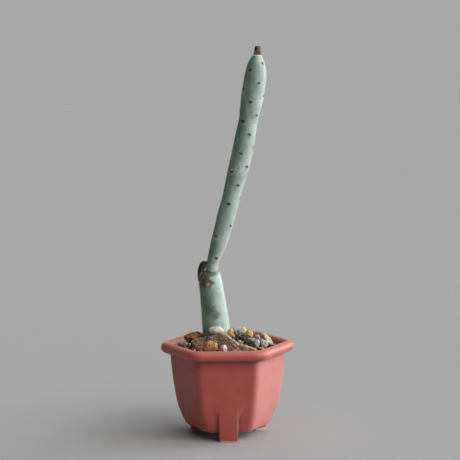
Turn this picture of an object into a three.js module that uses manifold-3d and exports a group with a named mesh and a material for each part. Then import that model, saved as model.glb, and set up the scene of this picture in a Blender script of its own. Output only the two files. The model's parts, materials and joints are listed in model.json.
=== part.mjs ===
// A potted Euphorbia alluaudii: a leafless grey-green stem in a six-sided pot of red fired clay.
// Millimetres, +Z up. The origin is on the pot's axis at the ground, and the front face looks along -Y.
import * as THREE from 'three';
import { ConvexGeometry } from 'three/addons/geometries/ConvexGeometry.js';
import { mergeVertices } from 'three/addons/utils/BufferGeometryUtils.js';
import Module from 'manifold-3d';

const wasm = await Module();
wasm.setup();

// Pot. A reach is the distance from the axis to the middle of a flat face.
const POT_SIDES = 6;
const RIM_REACH = 36.95;
const RIM_CORNER = 8.1;
const RIM_RADIUS = 3.6;
const RIM_HEIGHT = 59.7;
const RIM_STEPS = 9;
const RIM_START = -120;
const RIM_END = 150;
const BODY_CORNER = 5.5;
const INNER_CORNER = 3.5;
const FLOOR_UNDERSIDE = 5.5;
const FLOOR_TOP = 9.5;
const DRAIN_RADIUS = 5;

// Foot: a strap that stands out of every second face and reaches below the floor.
const FOOT_COUNT = 3;
const FOOT_WIDTH = 12.3;
const FOOT_WIDENING = 0.04;
const FOOT_REACH = 26;
const FOOT_INNER_REACH = 18;
const FOOT_TOP = 28;
const FOOT_FRONT = [[28.1, 8.5], [29.9, 15.6], [31.1, 21.5], [31.7, FOOT_TOP]];
const FOOT_BACK = [[30.2, FOOT_TOP], [27.2, 16], [22, 7.5], [FOOT_INNER_REACH, 7.5]];

// Clearance that keeps neighbouring pieces apart, and the extra that a faceted stone's socket needs.
const GAP = 0.3;
const SOCKET_GAP = 0.5;
const ROCK_SOCKET_SCALE = 1.14;

// Drain net.
const NET_RADIUS = 8.5;
const NET_SIDES = 32;
const NET_THICKNESS = 1;
const NET_PITCH = 4.2;
const NET_HOLE = 2.9;
const NET_EDGE = 0.5;

// Potting mix: a mound whose top is left of the pot's axis, under the stem.
const MIX_EDGE_HEIGHT = 58.6;
const MOUND_RISE = 9.4;
const MOUND_SPREAD = 22;
const MOUND_CENTRE = new THREE.Vector2(-5, 2);
const ROUNDING = 8;
const WALL_GAP = 0.4;
const GRIT_COUNT = 80;
const GRIT_RADIUS = 0.95;
const GRIT_REACH = 29;

// Stems. Heights are above the ground, and depth runs away from the viewer.
const STEM_SIDES = 18;
const STEM_DEPTH = 4;
const BURIED_END = 42;
const TIP_BASE = 255.5;
const TIP_TOP = 261.4;

// Leaf scars follow the 5/13 spiral of the stem's leaves.
const SCAR_TURN = (360 * 5) / 13;
const SCAR_WIDTH = 2.8;
const SCAR_HEIGHT = 1.6;
const SCAR_DEPTH = 0.9;
const SCAR_RELIEF = 0.4;

const COLORS = {
  clay: 0x8f453b,
  net: 0x2a2b2c,
  mix: 0x3b2c22,
  waxyGreen: 0x86998c,
  youngGreen: 0x7c9484,
  dryBrown: 0x4a332a,
  bark: 0x2e2019,
};

const WELD = 1e-4;
const DEGREES = Math.PI / 180;

// Seeded random numbers between 0 and 1.
function randomFrom(seed) {
  let state = seed;
  return () => {
    state = (Math.imul(state, 1664525) + 1013904223) >>> 0;
    return state / 4294967296;
  };
}

// Closed geometry to solid: welds the vertices and drops the flat triangles at a lathe's poles.
function toSolid(geometry) {
  const bare = geometry.clone();
  bare.deleteAttribute('normal');
  bare.deleteAttribute('uv');
  const welded = mergeVertices(bare, WELD);
  const corners = welded.index.array;
  const triangles = [];
  for (let i = 0; i < corners.length; i += 3) {
    const [a, b, c] = corners.slice(i, i + 3);
    if (a !== b && b !== c && c !== a) triangles.push(a, b, c);
  }
  return new wasm.Manifold(new wasm.Mesh({
    numProp: 3,
    vertProperties: welded.attributes.position.array,
    triVerts: new Uint32Array(triangles),
  }));
}

function toGeometry(solid) {
  const mesh = solid.getMesh();
  const geometry = new THREE.BufferGeometry();
  geometry.setAttribute('position', new THREE.BufferAttribute(mesh.vertProperties, 3));
  geometry.setIndex(new THREE.BufferAttribute(mesh.triVerts, 1));
  geometry.computeVertexNormals();
  return geometry;
}

// The body that is left when the loose scraps of a cut are dropped.
function largestBody(solid) {
  const bodies = solid.decompose();
  return bodies.reduce((largest, body) => (body.volume() > largest.volume() ? body : largest));
}

function makeMesh(name, geometry, color, roughness) {
  const material = new THREE.MeshStandardMaterial({ color, roughness, metalness: 0 });
  const mesh = new THREE.Mesh(geometry, material);
  mesh.name = name;
  return mesh;
}

// Points of a profile follow a smooth curve through the given ones.
function smoothed(points, count) {
  return new THREE.SplineCurve(points.map(([x, y]) => new THREE.Vector2(x, y))).getPoints(count);
}

// Distance from the axis to a hexagon with rounded corners, in the direction of an angle.
function hexagonRadius(angle, reach, corner) {
  const sector = (2 * Math.PI) / POT_SIDES;
  const fromFace = Math.abs(THREE.MathUtils.euclideanModulo(angle, sector) - sector / 2);
  const flatEnd = (reach - corner) * Math.tan(sector / 2);
  if (reach * Math.tan(fromFace) <= flatEnd) return reach / Math.cos(fromFace);
  const centre = (reach - corner) / Math.cos(sector / 2);
  const side = centre * Math.sin(sector / 2 - fromFace);
  return centre * Math.cos(sector / 2 - fromFace) + Math.sqrt(corner ** 2 - side ** 2);
}

// Angles round the pot, closer together at its corners, which lie at every 60 degrees.
function hexagonAngles() {
  const steps = [-30, -15, -7, -3.5, 0, 3.5, 7, 15];
  const angles = [];
  for (let side = 0; side < POT_SIDES; side += 1) {
    steps.forEach((step) => angles.push((side * 60 + step) * DEGREES));
  }
  return angles;
}

// Spins a profile of { reach, height, corner } points into a six-sided body.
// lift(x, y, point) gives the height of a point where it isn't level.
function hexagonLathe(profile, lift = (x, y, point) => point.height) {
  const angles = hexagonAngles();
  const outline = profile.map((point) => new THREE.Vector2(point.reach, point.height));
  const geometry = new THREE.LatheGeometry(outline, angles.length);
  const position = geometry.attributes.position;
  for (let i = 0; i <= angles.length; i += 1) {
    const angle = angles[i % angles.length];
    profile.forEach((point, j) => {
      const radius = point.reach > 0 ? hexagonRadius(angle, point.reach, point.corner) : 0;
      const x = radius * Math.cos(angle);
      const y = radius * Math.sin(angle);
      position.setXYZ(i * profile.length + j, x, y, lift(x, y, point));
    });
  }
  return geometry;
}

// Inside and outside of the pot's wall as reach and height, from the bottom up.
const OUTER_WALL = smoothed([
  [21.6, 5.5], [24.1, 6.3], [26.2, 8.7], [28.9, 15.6], [30.8, 22.5], [32.6, 35.7], [33.6, 45], [34.4, 56.7],
], 13);
const INNER_WALL = smoothed([
  [17, 9.5], [21.2, 10.2], [25.2, 15.6], [27.6, 22.5], [29.6, 35.7], [30.6, 45], [31.5, 54], [33.3, 59.4],
], 10);

// A point of a wall as an entry of a profile for hexagonLathe.
function wallPoint(point, corner) {
  return { reach: point.x, height: point.y, corner };
}

function makePot() {
  const profile = [{ reach: DRAIN_RADIUS, height: FLOOR_UNDERSIDE, corner: DRAIN_RADIUS }];
  OUTER_WALL.forEach((point) => profile.push(wallPoint(point, BODY_CORNER)));
  for (let i = 0; i <= RIM_STEPS; i += 1) {
    const angle = THREE.MathUtils.lerp(RIM_START, RIM_END, i / RIM_STEPS) * DEGREES;
    const out = RIM_RADIUS * Math.cos(angle);
    profile.push({
      reach: RIM_REACH + out,
      height: RIM_HEIGHT + RIM_RADIUS * Math.sin(angle),
      corner: RIM_CORNER + out,
    });
  }
  [...INNER_WALL].reverse().forEach((point) => profile.push(wallPoint(point, INNER_CORNER)));
  profile.push({ reach: DRAIN_RADIUS, height: FLOOR_TOP, corner: DRAIN_RADIUS });
  profile.push(profile[0]);
  let pot = toSolid(hexagonLathe(profile));
  for (let i = 0; i < FOOT_COUNT; i += 1) {
    const turn = 30 + (i * 360) / FOOT_COUNT;
    pot = pot.add(toSolid(makeFoot().rotateZ(turn * DEGREES)));
  }
  return makeMesh('pot', toGeometry(pot), COLORS.clay, 0.5);
}

// A foot of the face that looks along +X, as its side outline given a width.
function makeFoot() {
  const outline = new THREE.Shape();
  outline.moveTo(FOOT_INNER_REACH, 0);
  outline.lineTo(FOOT_REACH, 0);
  outline.splineThru(FOOT_FRONT.map(([reach, height]) => new THREE.Vector2(reach, height)));
  FOOT_BACK.forEach(([reach, height]) => outline.lineTo(reach, height));
  outline.closePath();
  const foot = new THREE.ExtrudeGeometry(outline, {
    depth: FOOT_WIDTH,
    bevelEnabled: false,
    curveSegments: 3,
  });
  foot.translate(0, 0, -FOOT_WIDTH / 2);
  foot.rotateX(90 * DEGREES);
  const position = foot.attributes.position;
  for (let i = 0; i < position.count; i += 1) {
    const widening = (position.getZ(i) * FOOT_WIDENING) / FOOT_WIDTH;
    position.setY(i, position.getY(i) * (1 + widening));
  }
  return foot;
}

function makeNet() {
  const disc = new THREE.CylinderGeometry(NET_RADIUS, NET_RADIUS, NET_THICKNESS, NET_SIDES);
  let net = toSolid(disc.rotateX(90 * DEGREES));
  const reach = Math.floor(NET_RADIUS / NET_PITCH);
  for (let i = -reach; i <= reach; i += 1) {
    for (let j = -reach; j <= reach; j += 1) {
      const x = i * NET_PITCH;
      const y = j * NET_PITCH;
      const farCorner = Math.hypot(Math.abs(x) + NET_HOLE / 2, Math.abs(y) + NET_HOLE / 2);
      if (farCorner < NET_RADIUS - NET_EDGE) {
        const hole = new THREE.BoxGeometry(NET_HOLE, NET_HOLE, 2 * NET_THICKNESS).translate(x, y, 0);
        net = net.subtract(toSolid(hole));
      }
    }
  }
  const mesh = makeMesh('drain_net', toGeometry(net), COLORS.net, 0.7);
  mesh.position.z = FLOOR_TOP + GAP + NET_THICKNESS / 2;
  return mesh;
}

// Height of the potting mix: a mound with small uneven waves.
function mixHeight(x, y) {
  const away = Math.hypot(x - MOUND_CENTRE.x, y - MOUND_CENTRE.y) / MOUND_SPREAD;
  const waves = 0.35 * Math.sin(0.9 * x + 0.4 * y) + 0.3 * Math.cos(0.7 * y - 0.5 * x);
  return MIX_EDGE_HEIGHT + MOUND_RISE * Math.exp(-(away ** 2)) + waves;
}

// A stone is the convex hull of points spread over an egg shape and moved a little at random.
function stoneHull({ size, seed, facets = 16, grow = 0 }) {
  const random = randomFrom(seed);
  const goldenAngle = Math.PI * (3 - Math.sqrt(5));
  const points = [];
  for (let i = 0; i < facets; i += 1) {
    const height = 1 - (2 * (i + 0.5)) / facets;
    const radius = Math.sqrt(1 - height ** 2);
    const angle = i * goldenAngle + 0.7 * (random() - 0.5);
    const bulge = 0.98 + 0.14 * random();
    points.push(new THREE.Vector3(
      (size[0] / 2 + grow) * bulge * radius * Math.cos(angle),
      (size[1] / 2 + grow) * bulge * radius * Math.sin(angle),
      (size[2] / 2 + grow) * bulge * height,
    ));
  }
  return new ConvexGeometry(points);
}

function placementOf({ at, turn }) {
  const euler = new THREE.Euler(...turn.map((angle) => angle * DEGREES));
  const quaternion = new THREE.Quaternion().setFromEuler(euler);
  return new THREE.Matrix4().compose(new THREE.Vector3(...at), quaternion, new THREE.Vector3(1, 1, 1));
}

// The hollow that a stone needs in the mix.
function stoneSocket(stone) {
  return toSolid(stoneHull({ ...stone, grow: SOCKET_GAP }).applyMatrix4(placementOf(stone)));
}

function makeStone(stone) {
  const mesh = makeMesh(stone.name, stoneHull(stone), stone.color, 0.85);
  mesh.applyMatrix4(placementOf(stone));
  return mesh;
}

// The big slab leans on the mound in front of the stem: a high left half and a low right tail.
const SLAB_HEAD = [
  [-13, -14, 68], [-1, -13, 69.8], [8.2, -16.5, 63.6], [-14, -24, 57.6], [9, -28.5, 57],
  [-11.5, -9.8, 67.4], [0, -9.6, 68.4], [9, -12, 62.4], [-11, -11, 58], [9, -12, 57],
];
const SLAB_TAIL = [
  [5, -14.5, 63.4], [9, -17.5, 64], [19, -20, 61.8], [20, -17, 60.8], [6, -28, 57],
  [19.5, -22.5, 57], [19, -15, 57], [6, -12, 57],
];
const TAN_ROCK = [
  [-24.3, -12, 65.3], [-22.5, -9, 67.2], [-18, -9.6, 67.4], [-15.6, -12.5, 66.8], [-16.4, -19, 63],
  [-18.6, -23.6, 60.5], [-23.2, -16.8, 60.8], [-22.6, -15, 57.3], [-18.4, -22.5, 57.3], [-16, -14, 57.3],
  [-21.5, -8.5, 57.5],
];
const SLAB_COLOR = 0x7a5f48;
const TAN_ROCK_COLOR = 0x8a7559;

// Convex rock from its corners, enlarged about its middle where a socket is wanted.
function rockHull(corners, scale = 1) {
  const points = corners.map((corner) => new THREE.Vector3(...corner));
  const middle = new THREE.Box3().setFromPoints(points).getCenter(new THREE.Vector3());
  points.forEach((point) => point.sub(middle).multiplyScalar(scale).add(middle));
  return new ConvexGeometry(points);
}

function slabSolid(scale = 1) {
  return toSolid(rockHull(SLAB_HEAD, scale)).add(toSolid(rockHull(SLAB_TAIL, scale)));
}

// A stone: its colour, its middle, its size along its own axes and its turn in degrees.
function stone(name, color, at, size, turn, seed) {
  return { name, color, at, size, turn, seed };
}

// Stones and chips that show in front of the stem and beside it.
const STONES = [
  stone('white_pebble_at_stem', 0xd8cdc0, [-7, -9, 72.1], [11.4, 6.2, 6], [0, 6, 8], 3),
  stone('yellow_stone', 0xbfae86, [1.7, -6.7, 69.9], [3.8, 4.4, 6.8], [0, 16, 0], 5),
  stone('orange_pebble', 0xb28056, [-11, -27, 64.1], [9, 5.6, 8.6], [0, -28, 0], 9),
  stone('grey_chip_at_rim', 0x8c7a6d, [-17, -26.2, 61.4], [2.6, 3.4, 5], [0, 24, 0], 11),
  stone('white_pebble_at_rim', 0xe6dcd4, [-2.5, -27.7, 62.9], [4.5, 3.8, 5.4], [12, 6, 0], 13),
  stone('tan_stone_left', 0x9a7a52, [-23.9, 1.4, 66.3], [11.6, 6, 6.2], [0, -8, 4], 17),
  stone('dark_stone_left', 0x2c211a, [-20.6, 7.8, 66.2], [5.6, 4.8, 5.6], [0, 0, 30], 19),
  stone('pale_stone_left', 0x8f8276, [-28.9, -5.8, 62.5], [7, 3.8, 3.6], [0, 4, -20], 23),
  stone('olive_stone', 0x7d7355, [6.4, 3.4, 68.6], [3.8, 4, 4.6], [0, 0, 0], 29),
  stone('cream_stone', 0xd6c6a4, [11, 5.2, 68.8], [4.4, 4.8, 6], [0, 10, 20], 31),
  stone('amber_stone', 0xc9a468, [16.4, 4.6, 67.2], [4.6, 5, 7], [0, -8, 0], 37),
  stone('small_olive_stone', 0x8b8460, [19.4, 10, 63.8], [3.4, 3.6, 4], [0, 0, 0], 41),
  stone('small_white_stone', 0xd9cfc0, [21, 5.4, 64.2], [2.8, 3.2, 4.6], [0, 0, 0], 43),
  stone('long_grey_stone', 0x9b9388, [17, -1.8, 64], [8.8, 4, 3.8], [0, 8, 0], 47),
  stone('bluish_stone', 0xb9bcb4, [20.2, -10, 62.9], [3.4, 4.8, 6.8], [0, 6, 0], 53),
  stone('whitish_stone', 0xc2baa8, [24.9, -8.8, 62.2], [5, 5, 5.8], [0, 20, 0], 59),
  stone('leaning_tan_slab', 0xc0ab8b, [27, -0.8, 64.2], [12, 8, 3.6], [10, 46, 0], 61),
  stone('bark_chip_1', COLORS.bark, [10.4, -3.2, 65.9], [6.6, 4, 2.2], [20, 14, -25], 67),
  stone('bark_chip_2', COLORS.bark, [14, -7.8, 63.6], [6.2, 3.8, 2.2], [-15, 10, 15], 71),
  stone('bark_chip_3', COLORS.bark, [15.4, -12.9, 62.5], [4.6, 2.4, 2.2], [8, 12, 0], 73),
  stone('bark_chip_4', COLORS.bark, [11.6, 0.4, 66.6], [5, 2.4, 2], [0, 18, 10], 79),
];

// Stones behind and beside the stem, where the mix would be bare, laid by a rule.
const SCATTER_COLORS = [0x8a6f4f, 0xa58a63, 0x6d5a48, 0xb9a98f, 0x9c6d48, 0x5a4a3e, 0xc9bfae];
const SCATTER_MOST = 26;
const SCATTER_REACH = 28;
const SCATTER_TRIES = 4000;
const SCATTER_SMALL = 4.4;
const SCATTER_SPREAD = 5.4;
const SCATTER_TILT = 50;

// The circle of ground that a stone takes up.
function footprint({ at, size }) {
  return { x: at[0], y: at[1], radius: Math.max(size[0], size[1]) / 2 };
}

function isClear(spot, others) {
  return others.every((other) => Math.hypot(spot.x - other.x, spot.y - other.y) > spot.radius + other.radius);
}

function scatterStones(taken) {
  const random = randomFrom(2024);
  const stones = [];
  const spots = [...taken];
  for (let tries = 0; tries < SCATTER_TRIES && stones.length < SCATTER_MOST; tries += 1) {
    const shrink = 1 - (0.6 * tries) / SCATTER_TRIES;
    const size = (SCATTER_SMALL + SCATTER_SPREAD * random()) * shrink;
    const angle = 2 * Math.PI * random();
    const reach = SCATTER_REACH * Math.sqrt(random());
    const spot = { x: reach * Math.cos(angle), y: reach * Math.sin(angle), radius: size / 2 };
    const color = SCATTER_COLORS[Math.floor(random() * SCATTER_COLORS.length)];
    const turn = [0, 1, 2].map(() => SCATTER_TILT * (random() - 0.5));
    const flat = 0.55 + 0.25 * random();
    if (isClear(spot, spots)) {
      spots.push(spot);
      stones.push({
        name: `stone_${String(stones.length + 1).padStart(2, '0')}`,
        color,
        at: [spot.x, spot.y, mixHeight(spot.x, spot.y) + 0.16 * size],
        size: [size * 0.95, size * (0.7 + 0.2 * random()), size * flat],
        turn,
        seed: 100 + stones.length,
      });
    }
  }
  return stones;
}

// Twig: a thin round stick between the yellow stone and the bark.
const TWIG_RADIUS = 0.55;
const TWIG_TOP = new THREE.Vector3(4.1, -3.6, 73.2);
const TWIG_FOOT = new THREE.Vector3(7.6, -7, 63);

function twigGeometry(radius, extra = 0) {
  const length = TWIG_TOP.distanceTo(TWIG_FOOT) + extra;
  const geometry = new THREE.CylinderGeometry(radius * 0.7, radius, length, 7);
  const direction = TWIG_TOP.clone().sub(TWIG_FOOT).normalize();
  geometry.applyQuaternion(new THREE.Quaternion().setFromUnitVectors(new THREE.Vector3(0, 1, 0), direction));
  const middle = TWIG_TOP.clone().add(TWIG_FOOT).multiplyScalar(0.5);
  return geometry.translate(middle.x, middle.y, middle.z);
}

// A stem: its middle line as x, depth and height, and its width at heights along that line.
const OLD_STEM = {
  line: [
    [-6, STEM_DEPTH, BURIED_END], [-7.2, STEM_DEPTH, 66], [-8.3, STEM_DEPTH, 81], [-9.6, STEM_DEPTH, 94],
    [-11, STEM_DEPTH, 105], [-12, STEM_DEPTH, 114.2],
  ],
  widths: [
    [BURIED_END, 0], [BURIED_END + 0.6, 7], [46, 13], [52, 17], [60, 18.4], [72, 18.5], [81, 18],
    [91, 17], [98, 16.4], [105, 15.7], [108.5, 14.6], [111.3, 12], [113.2, 8], [114.1, 3.5], [114.2, 0],
  ],
};
const YOUNG_STEM = {
  line: [
    [-11.4, 0.9, 104.6], [-10.1, 1.4, 111], [-8.9, 1.9, 117.5], [-6.3, 2.3, 125.3], [-2.1, 2.6, 138.8],
    [1.7, 2.7, 152.2], [7, 2.6, 172.3], [12, 2.3, 192.3], [15.9, 1.9, 212.2], [19, 1.5, 228.7],
    [21.1, 1.2, 241.9], [22.3, 1, 255.1],
  ],
  widths: [
    [104.6, 0], [104.9, 1.6], [106.5, 4.4], [109, 7.2], [112, 8.2], [115.2, 7.7], [118.6, 8.4], [122, 9.2],
    [127, 10.4], [133, 11.3], [140, 11.8], [146, 12.1], [159, 12.2], [166, 12.4], [173, 13.1],
    [180, 13.8], [186, 13.9], [192, 14], [199, 13.7], [206, 13.1], [212, 12.7], [218.5, 13.6],
    [224, 14.6], [229, 15.2], [235, 15.1], [240, 14.7], [245, 13.6], [248.5, 12.1], [251.8, 9.6],
    [254.4, 6.6], [255.1, 5.4], [255.1, 0],
  ],
};
const OLD_DRIED_END = {
  line: [[-14.1, 4.2, 102.4], [-14.5, 4.2, 110], [-14.9, 4.1, 117.5]],
  widths: [
    [102.4, 0], [102.6, 5], [103.6, 9], [105.5, 10.5], [108.5, 10.2], [111.5, 9.4], [114, 8],
    [115.9, 5.8], [117.1, 3.2], [117.5, 0],
  ],
};
const YOUNG_DRIED_TIP = {
  line: [[22.3, 1, TIP_BASE], [22.7, 1, 258], [22.9, 1, TIP_TOP]],
  widths: [
    [TIP_BASE, 0], [TIP_BASE, 5.2], [257, 4.9], [259, 4.4], [260.4, 3.6], [261.1, 2.4], [TIP_TOP, 0],
  ],
};

// Point of a stem's middle line at a height, and the way the line runs there.
function stemFrame(stem, height) {
  const curve = new THREE.CatmullRomCurve3(stem.line.map((point) => new THREE.Vector3(...point)));
  let low = 0;
  let high = 1;
  for (let i = 0; i < 24; i += 1) {
    const middle = (low + high) / 2;
    if (curve.getPoint(middle).z < height) low = middle;
    else high = middle;
  }
  const at = curve.getPoint(low);
  const along = curve.getTangent(low);
  const away = new THREE.Vector3(0, 1, 0).addScaledVector(along, -along.y).normalize();
  const right = new THREE.Vector3().crossVectors(away, along).normalize();
  return { at, along, away, right };
}

// Direction out of the stem at an angle from the front, positive towards +X.
function outward(frame, angle) {
  return frame.right.clone().multiplyScalar(Math.sin(angle)).addScaledVector(frame.away, -Math.cos(angle));
}

function stemRadius(stem, height) {
  const after = stem.widths.findIndex((entry) => entry[0] >= height);
  if (after <= 0) return stem.widths[Math.max(after, 0)][1] / 2;
  const [lowHeight, lowWidth] = stem.widths[after - 1];
  const [highHeight, highWidth] = stem.widths[after];
  const part = (height - lowHeight) / (highHeight - lowHeight || 1);
  return THREE.MathUtils.lerp(lowWidth, highWidth, part) / 2;
}

// A lathe of the stem's widths, bent along its middle line. grow makes the hollow for it in a neighbour.
function stemGeometry(stem, grow = 0) {
  const profile = stem.widths.map(([height, width]) => new THREE.Vector2(width / 2, height));
  const geometry = new THREE.LatheGeometry(profile, STEM_SIDES);
  const position = geometry.attributes.position;
  const last = profile.length - 1;
  profile.forEach((point, j) => {
    const frame = stemFrame(stem, point.y);
    const radius = point.x > 0 ? point.x + grow : 0;
    const stretch = j <= 1 ? -grow : 0;
    const rise = j >= last - 1 ? grow : stretch;
    for (let i = 0; i <= STEM_SIDES; i += 1) {
      const angle = ((i % STEM_SIDES) / STEM_SIDES) * 2 * Math.PI;
      const spot = frame.at.clone().addScaledVector(outward(frame, angle), radius);
      spot.addScaledVector(frame.along, rise);
      position.setXYZ(i * profile.length + j, spot.x, spot.y, spot.z);
    }
  });
  return geometry;
}

// A leaf scar: a small low lens across the stem, sunk so that only its relief stands out.
function scarGeometry(stem, height, angle) {
  const frame = stemFrame(stem, height);
  const out = outward(frame, angle);
  const across = new THREE.Vector3().crossVectors(frame.along, out);
  const lens = new THREE.SphereGeometry(1, 6, 4);
  lens.scale(SCAR_WIDTH / 2, SCAR_HEIGHT / 2, SCAR_DEPTH);
  lens.applyMatrix4(new THREE.Matrix4().makeBasis(across, frame.along, out));
  const middle = frame.at.clone().addScaledVector(out, stemRadius(stem, height) - SCAR_DEPTH + SCAR_RELIEF);
  return lens.translate(middle.x, middle.y, middle.z);
}

// Leaf scars down a stem from a height, each a step lower and a spiral turn further round.
function scarSpiral(stem, { from, to, angle, step }) {
  const scars = [];
  let height = from;
  let turn = angle;
  while (height > to) {
    scars.push(scarGeometry(stem, height, turn * DEGREES));
    turn += SCAR_TURN;
    height -= step(height);
  }
  return scars;
}

const YOUNG_SCARS = { from: 249.8, to: 116, angle: 48, step: (height) => (height > 158 ? 2.6 : 4.5) };
const OLD_SCARS = { from: 101, to: 74, angle: -70, step: () => 5.2 };

function joinAll(solid, geometries) {
  return geometries.reduce((joined, geometry) => joined.add(toSolid(geometry)), solid);
}

function makeStems() {
  const youngHollow = toSolid(stemGeometry(YOUNG_STEM, SOCKET_GAP));
  const driedHollow = toSolid(stemGeometry(OLD_DRIED_END, SOCKET_GAP));
  const young = joinAll(toSolid(stemGeometry(YOUNG_STEM)), scarSpiral(YOUNG_STEM, YOUNG_SCARS));
  const oldBody = joinAll(toSolid(stemGeometry(OLD_STEM)), scarSpiral(OLD_STEM, OLD_SCARS));
  const old = oldBody.subtract(youngHollow).subtract(driedHollow);
  const driedEnd = toSolid(stemGeometry(OLD_DRIED_END)).subtract(youngHollow);
  return [
    makeMesh('old_stem', toGeometry(largestBody(old)), COLORS.waxyGreen, 0.7),
    makeMesh('old_stem_dried_end', toGeometry(largestBody(driedEnd)), COLORS.dryBrown, 0.85),
    makeMesh('young_stem', toGeometry(young), COLORS.youngGreen, 0.65),
    makeMesh('young_stem_dried_tip', stemGeometry(YOUNG_DRIED_TIP), COLORS.dryBrown, 0.85),
  ];
}

// Grains of grit, each an eight-sided crystal sunk past its middle in the mix.
function gritGeometries() {
  const random = randomFrom(77);
  const grains = [];
  for (let i = 0; i < GRIT_COUNT; i += 1) {
    const angle = 2 * Math.PI * random();
    const reach = GRIT_REACH * Math.sqrt(random());
    const x = reach * Math.cos(angle);
    const y = reach * Math.sin(angle);
    const grain = new THREE.OctahedronGeometry(GRIT_RADIUS * (0.9 + 0.8 * random()));
    grain.rotateX(Math.PI * random());
    grain.rotateZ(Math.PI * random());
    grains.push(grain.translate(x, y, mixHeight(x, y)));
  }
  return grains;
}

// The inner wall moved off the clay, which the mix nearly touches.
function insetWall() {
  return INNER_WALL.slice(0, -1).map((point, i) => {
    const along = INNER_WALL[i + 1].clone().sub(i > 0 ? INNER_WALL[i - 1] : point).normalize();
    return new THREE.Vector2(point.x - WALL_GAP * along.y, point.y + WALL_GAP * along.x);
  });
}

function makePottingMix(stones) {
  const netTop = FLOOR_TOP + 2 * GAP + NET_THICKNESS;
  const recess = NET_RADIUS + GAP;
  const profile = [
    { reach: 0, height: netTop, corner: 0 },
    { reach: recess, height: netTop, corner: recess },
    { reach: recess, height: FLOOR_TOP + GAP, corner: recess },
  ];
  const wall = insetWall().filter((point) => point.y < MIX_EDGE_HEIGHT - 1);
  wall.forEach((point) => profile.push(wallPoint(point, INNER_CORNER)));
  const top = profile.length;
  const edge = wall[wall.length - 1].x;
  [1, 0.92, 0.8, 0.66, 0.52, 0.38, 0.24, 0.12, 0].forEach((part) => {
    const reach = edge * part;
    const corner = Math.min(INNER_CORNER + ROUNDING * (1 - part), reach);
    profile.push({ reach, height: MIX_EDGE_HEIGHT, corner });
  });
  const surface = new Set(profile.slice(top));
  const lift = (x, y, point) => (surface.has(point) ? mixHeight(x, y) : point.height);
  let mix = joinAll(toSolid(hexagonLathe(profile, lift)), gritGeometries());
  mix = mix.subtract(toSolid(stemGeometry(OLD_STEM, SOCKET_GAP)));
  mix = mix.subtract(slabSolid(ROCK_SOCKET_SCALE));
  mix = mix.subtract(toSolid(rockHull(TAN_ROCK, ROCK_SOCKET_SCALE)));
  mix = mix.subtract(toSolid(twigGeometry(TWIG_RADIUS + GAP, 2 * GAP)));
  stones.forEach((stone) => {
    mix = mix.subtract(stoneSocket(stone));
  });
  return makeMesh('potting_mix', toGeometry(largestBody(mix)), COLORS.mix, 0.95);
}

// Ground that the stem, the slab, the tan rock and the twig take up.
const stemFoot = { x: -7.2, y: STEM_DEPTH, radius: 10 };
const rockFootprints = [
  { x: -7, y: -18, radius: 9.5 },
  { x: 4, y: -19, radius: 9.5 },
  { x: 14, y: -20, radius: 7.5 },
  { x: -20, y: -14, radius: 7 },
  { x: -15, y: -22, radius: 5 },
  { x: 6, y: -6, radius: 3 },
];
const scattered = scatterStones([stemFoot, ...rockFootprints, ...STONES.map(footprint)]);
const stones = [...STONES, ...scattered];

const pottedEuphorbia = new THREE.Group();
pottedEuphorbia.name = 'potted_euphorbia';
pottedEuphorbia.add(makePot(), makeNet(), makePottingMix(stones), ...makeStems());

const topDressing = new THREE.Group();
topDressing.add(makeMesh('brown_slab', toGeometry(slabSolid()), SLAB_COLOR, 0.9));
topDressing.add(makeMesh('tan_rock', rockHull(TAN_ROCK), TAN_ROCK_COLOR, 0.9));
topDressing.add(makeMesh('twig', twigGeometry(TWIG_RADIUS), COLORS.bark, 0.9));
topDressing.add(...stones.map(makeStone));
pottedEuphorbia.add(topDressing);

export default pottedEuphorbia;
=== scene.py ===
"""A potted Euphorbia alluaudii: a leafless, wax-bloomed stem in a six-sided pot of red fired clay.

Shapes are worked out in millimetres in the row frame: the origin is on the pot's axis at the ground,
+Z is up and -Y looks at the viewer. Each finished piece is scaled to metres once, in its mesh. Fields
that hold an angle are in degrees, unless their comment says otherwise, and a field of type Span holds
where something starts and ends.
"""

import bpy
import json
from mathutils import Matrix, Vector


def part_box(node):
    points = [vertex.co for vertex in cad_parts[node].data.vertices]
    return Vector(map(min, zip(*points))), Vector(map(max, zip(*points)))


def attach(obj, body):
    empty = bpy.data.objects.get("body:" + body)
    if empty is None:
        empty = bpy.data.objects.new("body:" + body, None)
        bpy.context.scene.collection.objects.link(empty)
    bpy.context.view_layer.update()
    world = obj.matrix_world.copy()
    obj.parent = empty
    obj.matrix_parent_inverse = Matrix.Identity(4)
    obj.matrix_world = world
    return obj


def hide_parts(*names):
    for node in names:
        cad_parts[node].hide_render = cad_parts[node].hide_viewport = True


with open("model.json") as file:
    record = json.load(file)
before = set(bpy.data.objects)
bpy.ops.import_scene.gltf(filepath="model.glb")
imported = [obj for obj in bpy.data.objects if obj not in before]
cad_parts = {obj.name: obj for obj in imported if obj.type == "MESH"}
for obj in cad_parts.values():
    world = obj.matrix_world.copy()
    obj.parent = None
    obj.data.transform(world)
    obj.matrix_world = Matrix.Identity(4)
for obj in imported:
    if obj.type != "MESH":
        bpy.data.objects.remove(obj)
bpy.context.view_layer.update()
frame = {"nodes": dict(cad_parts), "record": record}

import json
import logging
import math
import random
from bisect import bisect_left
from collections.abc import Callable, Sequence
from dataclasses import dataclass, field
from enum import Enum

import bmesh
import bpy
from mathutils import Matrix, Vector, noise
from mathutils.bvhtree import BVHTree
from mathutils.geometry import intersect_point_line
from mathutils.kdtree import KDTree

LOG = logging.getLogger("potted_euphorbia")
MILLIMETRE = 0.001
TINY = 1e-6
BODY = "root"
UP = Vector((0, 0, 1))
# Half of the angle that one face of a hexagon takes up.
HALF_FACE = math.pi / 6
# The finer layers of every ragged edge are about half as wide as the layer above them.
FINER = 2.1

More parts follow.
